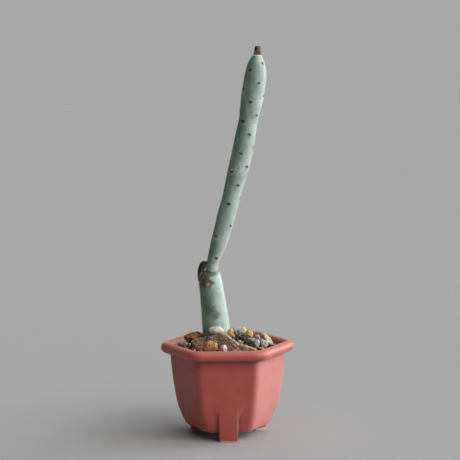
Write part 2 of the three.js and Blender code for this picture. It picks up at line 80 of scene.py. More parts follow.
BMesh = bmesh.types.BMesh
Layer = bmesh.types.BMLayerItem
Material = bpy.types.Material
Socket = bpy.types.NodeSocket
Span = tuple[float, float]


def linear(colour: str) -> tuple[float, float, float, float]:
    """Turns an sRGB hex colour into the linear values that a shader takes, by the sRGB standard's numbers.

    Args:
        colour: Six hex digits after a hash.

    Returns:
        Red, green, blue and an alpha of one.
    """
    channels = [int(colour[i : i + 2], 16) / 255 for i in (1, 3, 5)]
    values = [c / 12.92 if c <= 0.04045 else ((c + 0.055) / 1.055) ** 2.4 for c in channels]
    return values[0], values[1], values[2], 1.0


def smoothstep(low: float, high: float, value: float) -> float:
    """Returns 0 below low, 1 above high, and a soft step in between."""
    part = min(max((value - low) / (high - low), 0.0), 1.0)
    return part * part * (3 - 2 * part)


def mix(a: float, b: float, part: float) -> float:
    """Returns the value that lies the given part of the way from a to b."""
    return a + (b - a) * part


def ragged(place: Vector, size: float, roughness: float, layers: int) -> float:
    """Returns a ragged random value around zero, in patches as wide as the size in millimetres."""
    return noise.fractal(place / size, roughness, FINER, layers)


@dataclass(frozen=True)
class SmoothLine:
    """A smooth curve through given points that never overshoots them, with x rising."""

    points: Sequence[tuple[float, float]]

    def chord(self, index: int) -> float:
        """Returns the slope of the straight line from one point to the next."""
        (x0, y0), (x1, y1) = self.points[index], self.points[index + 1]
        return (y1 - y0) / (x1 - x0)

    def slope(self, index: int) -> float:
        """Measures the curve's slope at one of its points.

        Args:
            index: The point's number.

        Returns:
            The slope, which is zero where the points turn back.
        """
        last = len(self.points) - 1
        if index in (0, last):
            return self.chord(min(index, last - 1))
        before, after = self.chord(index - 1), self.chord(index)
        return 0.0 if before * after <= 0 else 2 * before * after / (before + after)

    def at(self, x: float) -> float:
        """Reads the curve.

        Args:
            x: Where to read it. It is held to the ends.

        Returns:
            The height of the curve there.
        """
        x = min(max(x, self.points[0][0]), self.points[-1][0])
        index = min(max(bisect_left([p[0] for p in self.points], x) - 1, 0), len(self.points) - 2)
        (x0, y0), (x1, y1) = self.points[index], self.points[index + 1]
        step = x1 - x0
        t = (x - x0) / step
        leave, arrive = self.slope(index) * step, self.slope(index + 1) * step
        from_start = y0 * (2 * t**3 - 3 * t**2 + 1) + leave * (t**3 - 2 * t**2 + t)
        return from_start + y1 * (3 * t**2 - 2 * t**3) + arrive * (t**3 - t**2)


def new_mesh(name: str, bm: BMesh) -> bpy.types.Mesh:
    """Turns a body into a mesh.

    Args:
        name: The mesh's name.
        bm: The body, which is used up.

    Returns:
        The mesh.
    """
    mesh = bpy.data.meshes.new(name)
    bm.to_mesh(mesh)
    bm.free()
    return mesh


def put_in_scene(name: str, data: bpy.types.ID) -> bpy.types.Object:
    """Makes an object in the scene, at the origin.

    Args:
        name: Its name.
        data: Its mesh, camera or light.

    Returns:
        The object.
    """
    thing = bpy.data.objects.new(name, data)
    bpy.context.scene.collection.objects.link(thing)
    return thing


def rolled_sheet(rows: int, columns: int, place: Callable[[int, int], Vector]) -> BMesh:
    """Rolls a flat grid up into a closed round body, as a lathe would, and closes its seam and poles.

    Args:
        rows: Number of points along the profile.
        columns: Number of points around.
        place: Gives the place of a point from its row and its column.

    Returns:
        The closed body, with its faces outwards.
    """
    bm = bmesh.new()
    bmesh.ops.create_grid(bm, x_segments=rows - 1, y_segments=columns, size=0.5)
    for vert in bm.verts:
        row = round((vert.co.x + 0.5) * (rows - 1))
        column = round((vert.co.y + 0.5) * columns) % columns
        vert.co = place(row, column)
    bmesh.ops.remove_doubles(bm, verts=bm.verts, dist=1e-5)
    bmesh.ops.recalc_face_normals(bm, faces=bm.faces)
    return bm


def merged_copy(node: str) -> BMesh:
    """Copies a CAD node's solid and merges its loose triangles.

    Args:
        node: The node's name.

    Returns:
        The solid in millimetres.
    """
    bm = bmesh.new()
    bm.from_mesh(frame["nodes"][node].data)
    bmesh.ops.scale(bm, vec=(1 / MILLIMETRE,) * 3, verts=bm.verts)
    bmesh.ops.remove_doubles(bm, verts=bm.verts, dist=1e-4)
    return bm


def remeshed(bm: BMesh, grain: float) -> BMesh:
    """Gives a body an even skin, and fuses the closed solids in it.

    Args:
        bm: The body, which is used up.
        grain: The skin's mesh width in millimetres.

    Returns:
        The body with its new skin.
    """
    mesh = new_mesh("rough", bm)
    rough = put_in_scene("rough", mesh)
    skin = rough.modifiers.new("skin", "REMESH")
    skin.mode = "VOXEL"
    skin.voxel_size = grain
    bpy.context.view_layer.update()
    even = bpy.data.meshes.new_from_object(rough.evaluated_get(bpy.context.evaluated_depsgraph_get()))
    result = bmesh.new()
    result.from_mesh(even)
    bpy.data.objects.remove(rough)
    bpy.data.meshes.remove(mesh)
    bpy.data.meshes.remove(even)
    return result


def soften(bm: BMesh, verts: Sequence[bmesh.types.BMVert], rounds: int = 1) -> None:
    """Moves points of a body halfway to the middle of their neighbours.

    Args:
        bm: The body.
        verts: The points.
        rounds: How often they are moved.
    """
    for _ in range(rounds):
        bmesh.ops.smooth_vert(
            bm, verts=verts, factor=0.5, use_axis_x=True, use_axis_y=True, use_axis_z=True
        )


def displace(bm: BMesh, amount: Callable[[Vector], float]) -> None:
    """Moves each point of a body along its normal.

    Args:
        bm: The body.
        amount: Gives the distance outwards from the point's place.
    """
    bm.normal_update()
    moves = [vert.normal * amount(vert.co) for vert in bm.verts]
    for vert, move in zip(bm.verts, moves, strict=True):
        vert.co += move


def bends(bm: BMesh) -> list[float]:
    """Measures how sharply a body bends at each point.

    Args:
        bm: The body.

    Returns:
        A value for each point, above zero on ridges and below zero in hollows.
    """
    bm.normal_update()
    raw = {}
    for vert in bm.verts:
        steps = [edge.other_vert(vert).co - vert.co for edge in vert.link_edges]
        raw[vert] = -sum(step.dot(vert.normal) for step in steps) / max(sum(s.length for s in steps), TINY)
    return [
        (raw[vert] + sum(raw[edge.other_vert(vert)] for edge in vert.link_edges))
        / (1 + len(vert.link_edges))
        for vert in bm.verts
    ]


def new_marks(bm: BMesh, *names: str) -> list[Layer]:
    """Returns a new layer of values on a body's points for each name, for its finish to read."""
    return [bm.verts.layers.float.new(name) for name in names]


def finish_piece(name: str, bm: BMesh, material: Material, slot: str, *nodes: str) -> bpy.types.Object:
    """Turns a body into a finished piece that rides on the part and stands for its CAD nodes.

    Args:
        name: The piece's name.
        bm: The body in millimetres, which is used up.
        material: Its finish.
        slot: The record's material slot. It is not used.
        nodes: The CAD nodes that it replaces.

    Returns:
        The new object.
    """
    bmesh.ops.scale(bm, vec=(MILLIMETRE,) * 3, verts=bm.verts)
    for face in bm.faces:
        face.smooth = True
    piece = put_in_scene(name, new_mesh(name, bm))
    piece.data.materials.append(material)
    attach(piece, BODY)
    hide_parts(*nodes)
    LOG.info("%s: %d faces", name, len(piece.data.polygons))
    return piece


def feed(tree: bpy.types.NodeTree, socket: Socket, value: object) -> None:
    """Feeds an input of a shader node.

    Args:
        tree: The node tree.
        socket: The input.
        value: Another node's output to link, a hex colour, or a plain value.
    """
    if isinstance(value, Socket):
        tree.links.new(value, socket)
    else:
        socket.default_value = linear(value) if isinstance(value, str) else value


def shader(
    tree: bpy.types.NodeTree, kind: str, inputs: dict[str | int, object] | None = None, **options: object
) -> bpy.types.Node:
    """Adds a shader node.

    Args:
        tree: The node tree.
        kind: The node's type.
        inputs: What feeds its inputs, by their name or number.
        options: The node's own properties.

    Returns:
        The new node.
    """
    made = tree.nodes.new(kind)
    for option, value in options.items():
        setattr(made, option, value)
    for socket, value in (inputs or {}).items():
        feed(tree, made.inputs[socket], value)
    return made


@dataclass(frozen=True)
class Grain:
    """A soft random pattern, with the width of its patches in millimetres.

    Its detail is the number of finer layers, its roughness their strength, and its distortion how far
    the patches are pulled out of shape. A stretch below one makes them longer along that axis. Where it
    is speckled, it is scattered points instead, with their spacing in millimetres.
    """

    size: float
    detail: float = 2.0
    roughness: float = 0.55
    distortion: float = 0.0
    stretch: tuple[float, float, float] | None = None
    speckled: bool = False


@dataclass(frozen=True)
class Patches:
    """Patches cut out of a grain: where they start and are full in it, and their strength there."""

    grain: Grain
    start: float
    full: float
    off: float = 0.0
    on: float = 1.0


@dataclass(frozen=True)
class Coat:
    """A layer of colour, with how much it covers and the mark in the mesh that it keeps to."""

    colour: str | Socket
    cover: Patches | float = 1.0
    mark: str | None = None


@dataclass(frozen=True)
class Relief:
    """Fine relief that follows a grain, with its depth in millimetres."""

    grain: Grain
    depth: float
    strength: float


class Pattern:
    """A material under construction: its tree, its place on the object, and the patterns read from it."""

    def __init__(self, name: str) -> None:
        """Starts a material with a Principled surface that reads Object coordinates.

        Args:
            name: The material's name.
        """
        self.material = bpy.data.materials.new(name)
        self.material.use_nodes = True
        self.tree = self.material.node_tree
        self.surface = self.tree.nodes["Principled BSDF"]
        self.place = shader(self.tree, "ShaderNodeTexCoord").outputs["Object"]

    def grain(self, grain: Grain) -> Socket:
        """Reads a grain.

        Args:
            grain: The grain.

        Returns:
            A value from 0 to 1, mostly near a half, or the distance to the nearest of the points.
        """
        inputs = {"Vector": self.place, "Scale": 1 / (grain.size * MILLIMETRE)}
        if grain.speckled:
            return shader(self.tree, "ShaderNodeTexVoronoi", inputs).outputs["Distance"]
        if grain.stretch:
            drawn_out = {"Vector": self.place, "Scale": grain.stretch}
            inputs["Vector"] = shader(self.tree, "ShaderNodeMapping", drawn_out).outputs[0]
        inputs |= {"Detail": grain.detail, "Roughness": grain.roughness, "Distortion": grain.distortion}
        return shader(self.tree, "ShaderNodeTexNoise", inputs).outputs["Fac"]

    def patches(self, patches: Patches) -> Socket:
        """Cuts patches out of a grain, with soft edges.

        Args:
            patches: The patches.

        Returns:
            Their strength.
        """
        inputs = {"Value": self.grain(patches.grain), "From Min": patches.start, "From Max": patches.full}
        inputs |= {"To Min": patches.off, "To Max": patches.on}
        cut = shader(self.tree, "ShaderNodeMapRange", inputs, interpolation_type="SMOOTHSTEP")
        return cut.outputs["Result"]

    def layered(self, base: str, *coats: Coat) -> Socket:
        """Lays colours over one another.

        Args:
            base: The lowest colour, in hex.
            coats: The colours on it, from the lowest to the highest.

        Returns:
            The colour that results.
        """
        colour = base
        for coat in coats:
            cover = self.patches(coat.cover) if isinstance(coat.cover, Patches) else coat.cover
            if coat.mark:
                marked = shader(self.tree, "ShaderNodeAttribute", attribute_name=coat.mark).outputs["Fac"]
                part = shader(self.tree, "ShaderNodeMath", {0: marked, 1: cover}, operation="MULTIPLY")
                cover = part.outputs[0]
            inputs = {"Factor": cover, 6: colour, 7: coat.colour}
            colour = shader(self.tree, "ShaderNodeMix", inputs, data_type="RGBA").outputs[2]
        return colour

    def relief(self, *layers: Relief) -> None:
        """Gives the surface its fine relief.

        Args:
            layers: The layers of relief, one over the other.
        """
        below = {}
        for layer in layers:
            inputs = {"Height": self.grain(layer.grain), "Strength": layer.strength}
            inputs |= {"Distance": layer.depth * MILLIMETRE} | below
            below = {"Normal": shader(self.tree, "ShaderNodeBump", inputs).outputs["Normal"]}
        feed(self.tree, self.surface.inputs["Normal"], below["Normal"])

    def dress(self, **values: object) -> Material:
        """Feeds the surface.

        Args:
            values: What feeds its inputs, with an underscore for each space in an input's name.

        Returns:
            The finished material.
        """
        for name, value in values.items():
            feed(self.tree, self.surface.inputs[name.replace("_", " ")], value)
        return self.material


@dataclass(frozen=True)
class RedFiredClay:
    """Unglazed red stoneware, pressed in a mould, smoothed with a wet sponge and fired.

    Iron in the clay gives the brick red, and the sponged skin gives a broad satin veil where it mirrors
    a window, which is also painted as a pale veil on that side and on the bead's top. Ridges and corners
    have a painted highlight, creases and the band under the bead have painted shade, and the feet are pale
    where they stand, from wear and from a painted highlight on their edges.
    """

    body: str = "#B45042"
    dark: str = "#A5483A"
    light: str = "#C2685A"
    worn: str = "#E2C4B6"
    # Painted shade: the dark colour laid in creases, under the bead and beside the feet.
    crease: str = "#43180F"
    window_sheen_colour: str = "#EBCFC8"
    veil: str = "#FFE0D6"
    satin: float = 0.19
    # Painted highlight: ridges and corners are painted lighter.
    highlight_on_ridges: float = 0.45
    shade_in_creases: float = 0.85
    # The iron lies in soft clouds about as wide as a thumb.
    clouds: Patches = Patches(Grain(12.0, 4.0), 0.25, 0.72)
    # Sand grains of about half a millimetre show as faint lighter points.
    sand: Patches = Patches(Grain(0.5, 1.0), 0.6, 0.78, 0.0, 0.3)
    # A painted sheen: a pale veil painted on the side that faces the window, where the clay mirrors it.
    film: Patches = Patches(Grain(7.0, 4.0, 0.6, 0.3), 0.25, 0.7, 0.8, 1.1)
    # The feet's pale wear and their painted edge highlight come in spots about two millimetres wide.
    rubs: Patches = Patches(Grain(2.2, 3.0), 0.3, 0.55, 0.5, 1.0)
    dullness: Patches = Patches(Grain(5.0, 3.0), 0.3, 0.7, 0.5, 0.6)
    # The sponge leaves low waves, and the sand under the skin a fine tooth.
    sponging: Relief = Relief(Grain(14.0), 0.2, 0.25)
    tooth: Relief = Relief(Grain(0.35), 0.03, 0.45)

    def material(self) -> Material:
        """Builds the material.

        Returns:
            The finished material.
        """
        p = Pattern("red_fired_clay")
        colour = p.layered(
            self.dark,
            Coat(self.body, self.clouds),
            Coat(self.light, self.sand),
            Coat(self.light, self.highlight_on_ridges, "ridge"),
            Coat(self.crease, self.shade_in_creases, "crease"),
            Coat(self.window_sheen_colour, self.film, "limed"),
            Coat(self.worn, self.rubs, "worn"),
        )
        p.relief(self.sponging, self.tooth)
        return p.dress(
            Base_Color=colour,
            Roughness=p.patches(self.dullness),
            IOR=1.5,
            Specular_IOR_Level=0.4,
            Coat_Weight=0.35,
            Coat_Roughness=0.5,
            Sheen_Weight=self.satin,
            Sheen_Roughness=0.46,
            Sheen_Tint=self.veil,
        )


ALONG_STEM = (1.0, 1.0, 0.6)


@dataclass(frozen=True)
class WaxySkin:
    """The green skin of a succulent stem under its bloom of powdery wax.

    The side towards the window is painted nearly white, a painted highlight where the light falls. Thicker
    spots of bloom give pale bluish clouds, and where it is rubbed off the darker green shows.
    """

    green: str = "#627C6C"
    deep_green: str = "#506D5B"
    rubbed: str = "#34493D"
    bloom: str = "#8FA699"
    lit_side_bloom: str = "#ADBBB2"
    thick_bloom: str = "#C8D2D4"
    scar: str = "#141A16"
    scar_halo: str = "#3F5648"
    cushion: str = "#9DB0A5"
    dried: str = "#46342B"
    dried_light: str = "#93817A"
    tip_ring: str = "#D9CCC0"
    veil: str = "#E4EAE8"
    # The green and the wax vary in clouds a little narrower than the stem, drawn out along it.
    greens: Patches = Patches(Grain(6.0, 3.0, 0.5, 0.3, ALONG_STEM), 0.3, 0.7)
    wax_clouds: Patches = Patches(Grain(11.0, 4.0, 0.55, 0.5, ALONG_STEM), 0.42, 0.72, 0.0, 0.8)
    # Wax grains of a few hundredths of a millimetre are drawn ten times as coarse, to be seen at all.
    powder: Patches = Patches(Grain(0.5, 2.0, 0.6), 0.45, 0.75, 0.0, 0.3)
    lit_side_clouds: Patches = Patches(Grain(4.0, 4.0, 0.6, 0.3, ALONG_STEM), 0.3, 0.6, 0.55, 1.0)
    # The dried skin has paler flakes one or two millimetres wide.
    flakes: Patches = Patches(Grain(1.6, 4.0, 0.65, 0.2), 0.42, 0.85)
    dullness: Patches = Patches(Grain(4.0, 3.0), 0.3, 0.7, 0.5, 0.62)
    # The flesh gives low swellings, and the wax a fine tooth.
    swellings: Relief = Relief(Grain(3.0, 3.0, 0.5, 0.0, ALONG_STEM), 0.12, 0.3)
    tooth: Relief = Relief(Grain(0.28), 0.02, 0.5)

    def material(self) -> Material:
        """Builds the material.

        Returns:
            The finished material.
        """
        p = Pattern("waxy_stem_skin")
        dried = p.layered(self.dried, Coat(self.dried_light, self.flakes))
        colour = p.layered(
            self.deep_green,
            Coat(self.green, self.greens),
            Coat(self.bloom, self.wax_clouds),
            Coat(self.bloom, self.powder),
            # Painted highlight on the side that faces the window.
            Coat(self.lit_side_bloom, self.lit_side_clouds, "sunny"),
            Coat(self.thick_bloom, mark="bloom"),
            # Painted highlight on the cushions below the scars.
            Coat(self.cushion, mark="cushion"),
            Coat(self.scar_halo, mark="halo"),
            # Rubbed-off wax, and painted shade in the fork.
            Coat(self.rubbed, mark="rubbed"),
            Coat(dried, mark="dried"),
            Coat(self.scar, mark="scar"),
            Coat(self.tip_ring, mark="ring"),
        )
        p.relief(self.swellings, self.tooth)
        return p.dress(
            Base_Color=colour,
            Roughness=p.patches(self.dullness),
            IOR=1.45,
            Specular_IOR_Level=0.5,
            Coat_Weight=0.22,
            Coat_Roughness=0.5,
            Coat_IOR=1.45,
            Sheen_Weight=0.45,
            Sheen_Roughness=0.35,
            Sheen_Tint=self.veil,
            Subsurface_Weight=0.05,
            Subsurface_Radius=(0.0012, 0.0018, 0.001),
        )


ALONG_STUB = (1.0, 1.0, 0.5)


@dataclass(frozen=True)
class DriedTissue:
    """Stem tissue that has died back and dried to a wrinkled stub, black where it was cut, with painted
    shade on its left.
    """

    black: str = "#17100D"
    dark: str = "#33251E"
    brown: str = "#6B5044"
    light: str = "#B79C91"
    # The fibres show as streaks about a millimetre wide, with paler flakes of old skin on them.
    streaks: Patches = Patches(Grain(0.9, 4.0, 0.6, 0.3, ALONG_STUB), 0.36, 0.62)
    flakes: Patches = Patches(Grain(2.4, 3.0, 0.6, 0.5), 0.52, 0.66, 0.0, 0.85)
    wrinkles: Relief = Relief(Grain(0.7, 4.0, 0.65, 0.3, ALONG_STUB), 0.2, 0.7)
    tooth: Relief = Relief(Grain(0.2), 0.04, 0.5)

    def material(self) -> Material:
        """Builds the material.

        Returns:
            The finished material.
        """
        p = Pattern("dried_stem_tissue")
        colour = p.layered(
            self.dark,
            Coat(self.brown, self.streaks),
            Coat(self.light, self.flakes),
            Coat(self.black, mark="charred"),
        )
        p.relief(self.wrinkles, self.tooth)
        return p.dress(Base_Color=colour, Roughness=0.66, Specular_IOR_Level=0.4)


@dataclass(frozen=True)
class Rock:
    """A natural stone of the top dressing: mottled, speckled and a little pitted.

    The patches of mineral, the specks and the depth of the pits are in millimetres. Broken faces are
    dull, quartz and chert are smoother and let a little light in, which is their glow.
    """

    name: str
    body: str
    dark: str
    light: str
    patch: float = 2.2
    speck: float = 0.55
    speck_amount: float = 0.35
    pits: float = 0.12
    roughness: float = 0.7
    glow: float = 0.0

    def material(self) -> Material:
        """Builds the material.

        Returns:
            The finished material.
        """
        p = Pattern(self.name)
        minerals = Patches(Grain(self.patch, 5.0, 0.62, 0.5), 0.36, 0.64)
        veins = Patches(Grain(self.patch * 0.7, 4.0, 0.6, 0.2), 0.54, 0.7, 0.0, 0.8)
        specks = Patches(Grain(self.speck, speckled=True), 0.12, 0.3, self.speck_amount, 0.0)
        colour = p.layered(
            self.dark,
            Coat(self.body, minerals),
            Coat(self.light, veins),
            Coat(self.dark, specks),
            # Paler on ridges and darker in hollows, by their bend; on the brown slab the paler line is also
            # a painted highlight.
            Coat(self.light, mark="worn_edge"),
            Coat(self.dark, mark="dirt"),
        )
        # The pits are as wide as the minerals that fell out, and the grit between them is finer.
        p.relief(
            Relief(Grain(self.patch * 0.6, 5.0, 0.65), self.pits * 2.5, 0.7),
            Relief(Grain(0.22, 2.0, 0.6), self.pits * 0.5, 0.6),
        )
        dullness = Patches(Grain(1.0, 3.0), 0.3, 0.7, self.roughness - 0.1, self.roughness + 0.1)
        return p.dress(
            Base_Color=colour,
            Roughness=p.patches(dullness),
            Specular_IOR_Level=0.45,
            Subsurface_Weight=self.glow,
            Subsurface_Radius=(0.0016, 0.0012, 0.001),
        )


ALONG_BARK = (0.3, 1.0, 1.0)


@dataclass(frozen=True)
class DeadBark:
    """Pine bark and twig: dark fibres that run along the piece, with greyer weathered ridges."""

    dark: str = "#150E0A"
    brown: str = "#38261C"
    weathered: str = "#837A72"
    # Fibres of half a millimetre to a millimetre, three times as long as they are wide.
    streaks: Patches = Patches(Grain(0.7, 4.0, 0.65, 0.4, ALONG_BARK), 0.38, 0.64)
    ridges: Patches = Patches(Grain(1.1, 4.0, 0.7, 0.3, ALONG_BARK), 0.56, 0.68, 0.0, 0.75)
    fibres: Relief = Relief(Grain(0.6, 4.0, 0.7, 0.3, ALONG_BARK), 0.3, 0.9)

    def material(self) -> Material:
        """Builds the material.

        Returns:
            The finished material.
        """
        p = Pattern("weathered_bark")
        colour = p.layered(self.dark, Coat(self.brown, self.streaks), Coat(self.weathered, self.ridges))
        p.relief(self.fibres)
        return p.dress(Base_Color=colour, Roughness=0.66, Specular_IOR_Level=0.5)


@dataclass(frozen=True)
class Soil:
    """Damp potting mix of crumbled bark, clay granules and pumice dust, which is dull and rough."""

    name: str
    dark: str
    body: str
    light: str
    roughness: float = 0.85
    # Patches as wide as a few grains make neighbouring grains differ in colour.
    batches: Patches = Patches(Grain(1.9, 2.0, 0.5), 0.38, 0.62)
    pale_batches: Patches = Patches(Grain(1.2, 3.0, 0.6), 0.55, 0.7, 0.0, 0.7)
    crumbs: Relief = Relief(Grain(0.3, 3.0, 0.6), 0.12, 0.8)

    def material(self) -> Material:
        """Builds the material.

        Returns:
            The finished material.
        """
        p = Pattern(self.name)
        colour = p.layered(self.dark, Coat(self.body, self.batches), Coat(self.light, self.pale_batches))
        p.relief(self.crumbs)
        return p.dress(Base_Color=colour, Roughness=self.roughness, Specular_IOR_Level=0.3)


@dataclass(frozen=True)
class MouldedNet:
    """Black polythene drain net, moulded smooth, under a faint brown film of dust."""

    black: str = "#1C1D1E"
    dust: str = "#4A4039"
    # Dust gathers in spots about as wide as the meshes.
    film: Patches = Patches(Grain(1.6, 3.0), 0.5, 0.75, 0.0, 0.7)
    tooth: Relief = Relief(Grain(0.5), 0.05, 0.4)

    def material(self) -> Material:
        """Builds the material.

        Returns:
            The finished material.
        """
        p = Pattern("black_polythene_net")
        colour = p.layered(self.black, Coat(self.dust, self.film))
        p.relief(self.tooth)
        return p.dress(Base_Color=colour, Roughness=0.55, Specular_IOR_Level=0.5)


def hexagon_radius(angle: float, reach: float, corner: float) -> float:
    """Measures from the axis to a hexagon with rounded corners.

    Args:
        angle: Angle from the middle of a face, in radians.
        reach: Distance from the axis to the face.
        corner: Radius of the corners.

    Returns:
        The distance in that direction.
    """
    if reach <= 0:
        return 0.0
    away = abs(angle)
    if reach * math.tan(away) <= (reach - corner) * math.tan(HALF_FACE):
        return reach / math.cos(away)
    centre = (reach - corner) / math.cos(HALF_FACE)
    side = centre * math.sin(HALF_FACE - away)
    return centre * math.cos(HALF_FACE - away) + math.sqrt(max(corner**2 - side**2, 0.0))


def face_angle(azimuth: float) -> float:
    """Returns the angle from the nearest face's middle, for an azimuth in radians."""
    return (azimuth % (2 * HALF_FACE)) - HALF_FACE


@dataclass(frozen=True)
class WallRow:
    """One level of the pot's skin, with the reach and height of a foot's face at that level."""

    reach: float
    height: float
    corner: float
    foot: tuple[float, float] | None = None


@dataclass
class ClayPot:
    """The six-sided pot with its round rim bead, its drain hole and its three strap feet."""

    # Columns from a face's middle to its corner, and those at which a foot's front, edge, flank and
    # fillet end. All sizes here are in millimetres.
    sides: int = 6
    half_columns: int = 22
    corner_crowding: float = 1.35
    foot_columns: int = 17
    foot_steps: tuple[int, int, int, int] = (5, 8, 10, 14)
    foot_sectors: tuple[int, ...] = (0, 2, 4)
    foot_half_width: float = 6.15
    foot_widening: float = 0.04
    foot_edge: float = 0.45
    foot_fillet: float = 0.9
    foot_draft: float = 0.12
    draft_depth: float = 2.2
    foot_top: float = 21.0
    foot_end: float = 30.0
    floor_under: float = 5.5
    floor_over: float = 9.5
    underside: tuple[float, ...] = (9.0, 14.0, 17.0)
    floor_inside: Span = (17.0, 11.0)
    drain_radius: float = 5.0
    drain_chamfer: float = 0.35
    drain_lip: float = 0.5
    wall_heights: Span = (8.7, 56.7)
    wall_rows: int = 38
    bead_crease: float = 56.6
    rim_reach: float = 36.95
    rim_height: float = 59.7
    rim_radius: float = 3.6
    rim_corner: float = 8.1
    bead_turn: Span = (-120, 150)
    bead_rows: int = 34
    inside_heights: Span = (59.4, 10.2)
    inside_rows: int = 16
    inside_crowding: float = 1.3
    body_corner: float = 5.5
    inner_corner: float = 3.5
    # How far the wall, a foot and the inside reach from the axis at each height.
    wall: SmoothLine = SmoothLine(
        ((8.7, 26.2), (15.6, 28.9), (22.5, 30.8), (35.7, 32.6), (45, 33.6), (56.7, 34.4))
    )
    strap: SmoothLine = SmoothLine(((0, 26), (8.5, 28.1), (15.6, 29.9), (21.5, 31.1), (28, 31.72)))
    inside: SmoothLine = SmoothLine(
        ((10.2, 21.2), (15.6, 25.2), (22.5, 27.6), (35.7, 29.6), (45, 30.6), (54, 31.5), (59.4, 33.3))
    )
    # Where the floor turns up into the wall: reach and height, then the foot's own reach and height.
    turn_up: tuple[tuple[float, float, float, float], ...] = (
        (17.6, 5.5, 17.75, 5.45), (18.1, 5.5, 18.0, 5.0), (18.7, 5.5, 18.0, 1.2), (19.3, 5.5, 18.0, 0.6),
        (19.9, 5.5, 18.15, 0.15), (20.5, 5.5, 18.6, 0.0), (21.0, 5.5, 22.0, 0.0), (21.6, 5.53, 25.3, 0.0),
        (22.4, 5.66, 25.85, 0.15), (23.2, 5.93, 26.12, 0.6), (24.1, 6.4, 26.3, 1.2),
        (25.0, 7.15, 27.3, 5.3), (25.7, 7.95, 27.75, 7.2),
    )
    # The mould's wear makes faces uneven by a few hundredths, in dents as wide as a finger.
    unevenness: float = 0.07
    dent_width: float = 16.0
    dent_sink: float = 0.4
    dent_heights: Span = (0.2, 4.0)
    # Heights and bends between which each mark comes in, and how strong it is.
    fired_heights: Span = (6, 62)
    ridge_bend: Span = (0.05, 0.3)
    crease_bend: Span = (0.02, 0.2)
    # Painted sheen on the window's side of the wall, and a painted highlight on the top of the bead.
    window_sheen_amount: float = 0.15
    sheen_low: Span = (4, 12)
    sheen_high: Span = (55, 58)
    sheen_side: Span = (0.2, 0.8)
    window: Vector = field(default_factory=lambda: Vector((0.96, -0.28, 0.0)))
    bead_top_sheen: float = 0.06
    bead_low: Span = (58, 60)
    bead_top: Span = (0.0, 0.7)
    # Painted shade in a band under the bead.
    bead_shade: float = 0.9
    bead_shade_width: float = 0.75
    bead_shade_reach: float = 34.2
    # The feet are worn pale where they stand; their edges below the heights that follow are paler from wear
    # and a painted highlight.
    bare_height: Span = (0.5, 1.2)
    bare_reach: float = 17.0
    rubbed_and_lit_edge: float = 0.75
    rubbed_and_lit_bend: Span = (0.1, 0.35)
    rubbed_and_lit_height: Span = (8, 18)
    # Painted shade on the wall beside each foot's flank.
    foot_shade: float = 0.75
    foot_shade_near: Span = (-0.05, 0.25)
    foot_shade_far: Span = (0.5, 2.6)
    foot_shade_high: Span = (13, 23)
    foot_shade_reach: float = 15.0

    def rows(self) -> list[WallRow]:
        """Lays out the levels from the drain hole outwards, up, over the rim and down inside.

        Returns:
            The levels in order, the last one the same as the first.
        """
        drain, under, over = self.drain_radius, self.floor_under, self.floor_over
        wide = drain + self.drain_chamfer
        rows = [WallRow(drain, under + self.drain_lip, drain), WallRow(wide, under, wide)]
        rows += [WallRow(reach, under, min(reach, self.body_corner)) for reach in self.underside]
        rows += [WallRow(a, b, self.body_corner, (c, d)) for a, b, c, d in self.turn_up]
        for i in range(self.wall_rows + 1):
            height = mix(*self.wall_heights, i / self.wall_rows)
            reach = self.wall.at(height)
            foot = (max(self.strap.at(height), reach), height) if height < self.foot_end else None
            rows.append(WallRow(reach, height, self.body_corner, foot))
        for i in range(self.bead_rows + 1):
            angle = math.radians(mix(*self.bead_turn, i / self.bead_rows))
            out = self.rim_radius * math.cos(angle)
            height = self.rim_height + self.rim_radius * math.sin(angle)
            rows.append(WallRow(self.rim_reach + out, height, self.rim_corner + out))
        for i in range(self.inside_rows + 1):
            height = mix(*self.inside_heights, (i / self.inside_rows) ** self.inside_crowding)
            rows.append(WallRow(self.inside.at(height), height, self.inner_corner))
        wall_side, drain_side = self.floor_inside
        rows += [WallRow(wall_side, over, self.inner_corner), WallRow(drain_side, over, drain)]
        rows += [WallRow(wide, over, wide), WallRow(drain, over - self.drain_lip, drain), rows[0]]
        return rows

    def angle_of(self, step: int) -> float:
        """Returns the angle from a face's middle of a column, closer together towards the corner."""
        return HALF_FACE * (1 - (1 - step / self.half_columns) ** self.corner_crowding)

    def azimuth_of(self, sector: int) -> float:
        """Returns the azimuth of a face's middle."""
        return HALF_FACE * (1 + 2 * sector)

    def half_width_of_foot(self, height: float) -> float:
        """Returns half a foot's width at a height."""
        return self.foot_half_width * (1 + self.foot_widening * height / self.strap.points[-1][0])

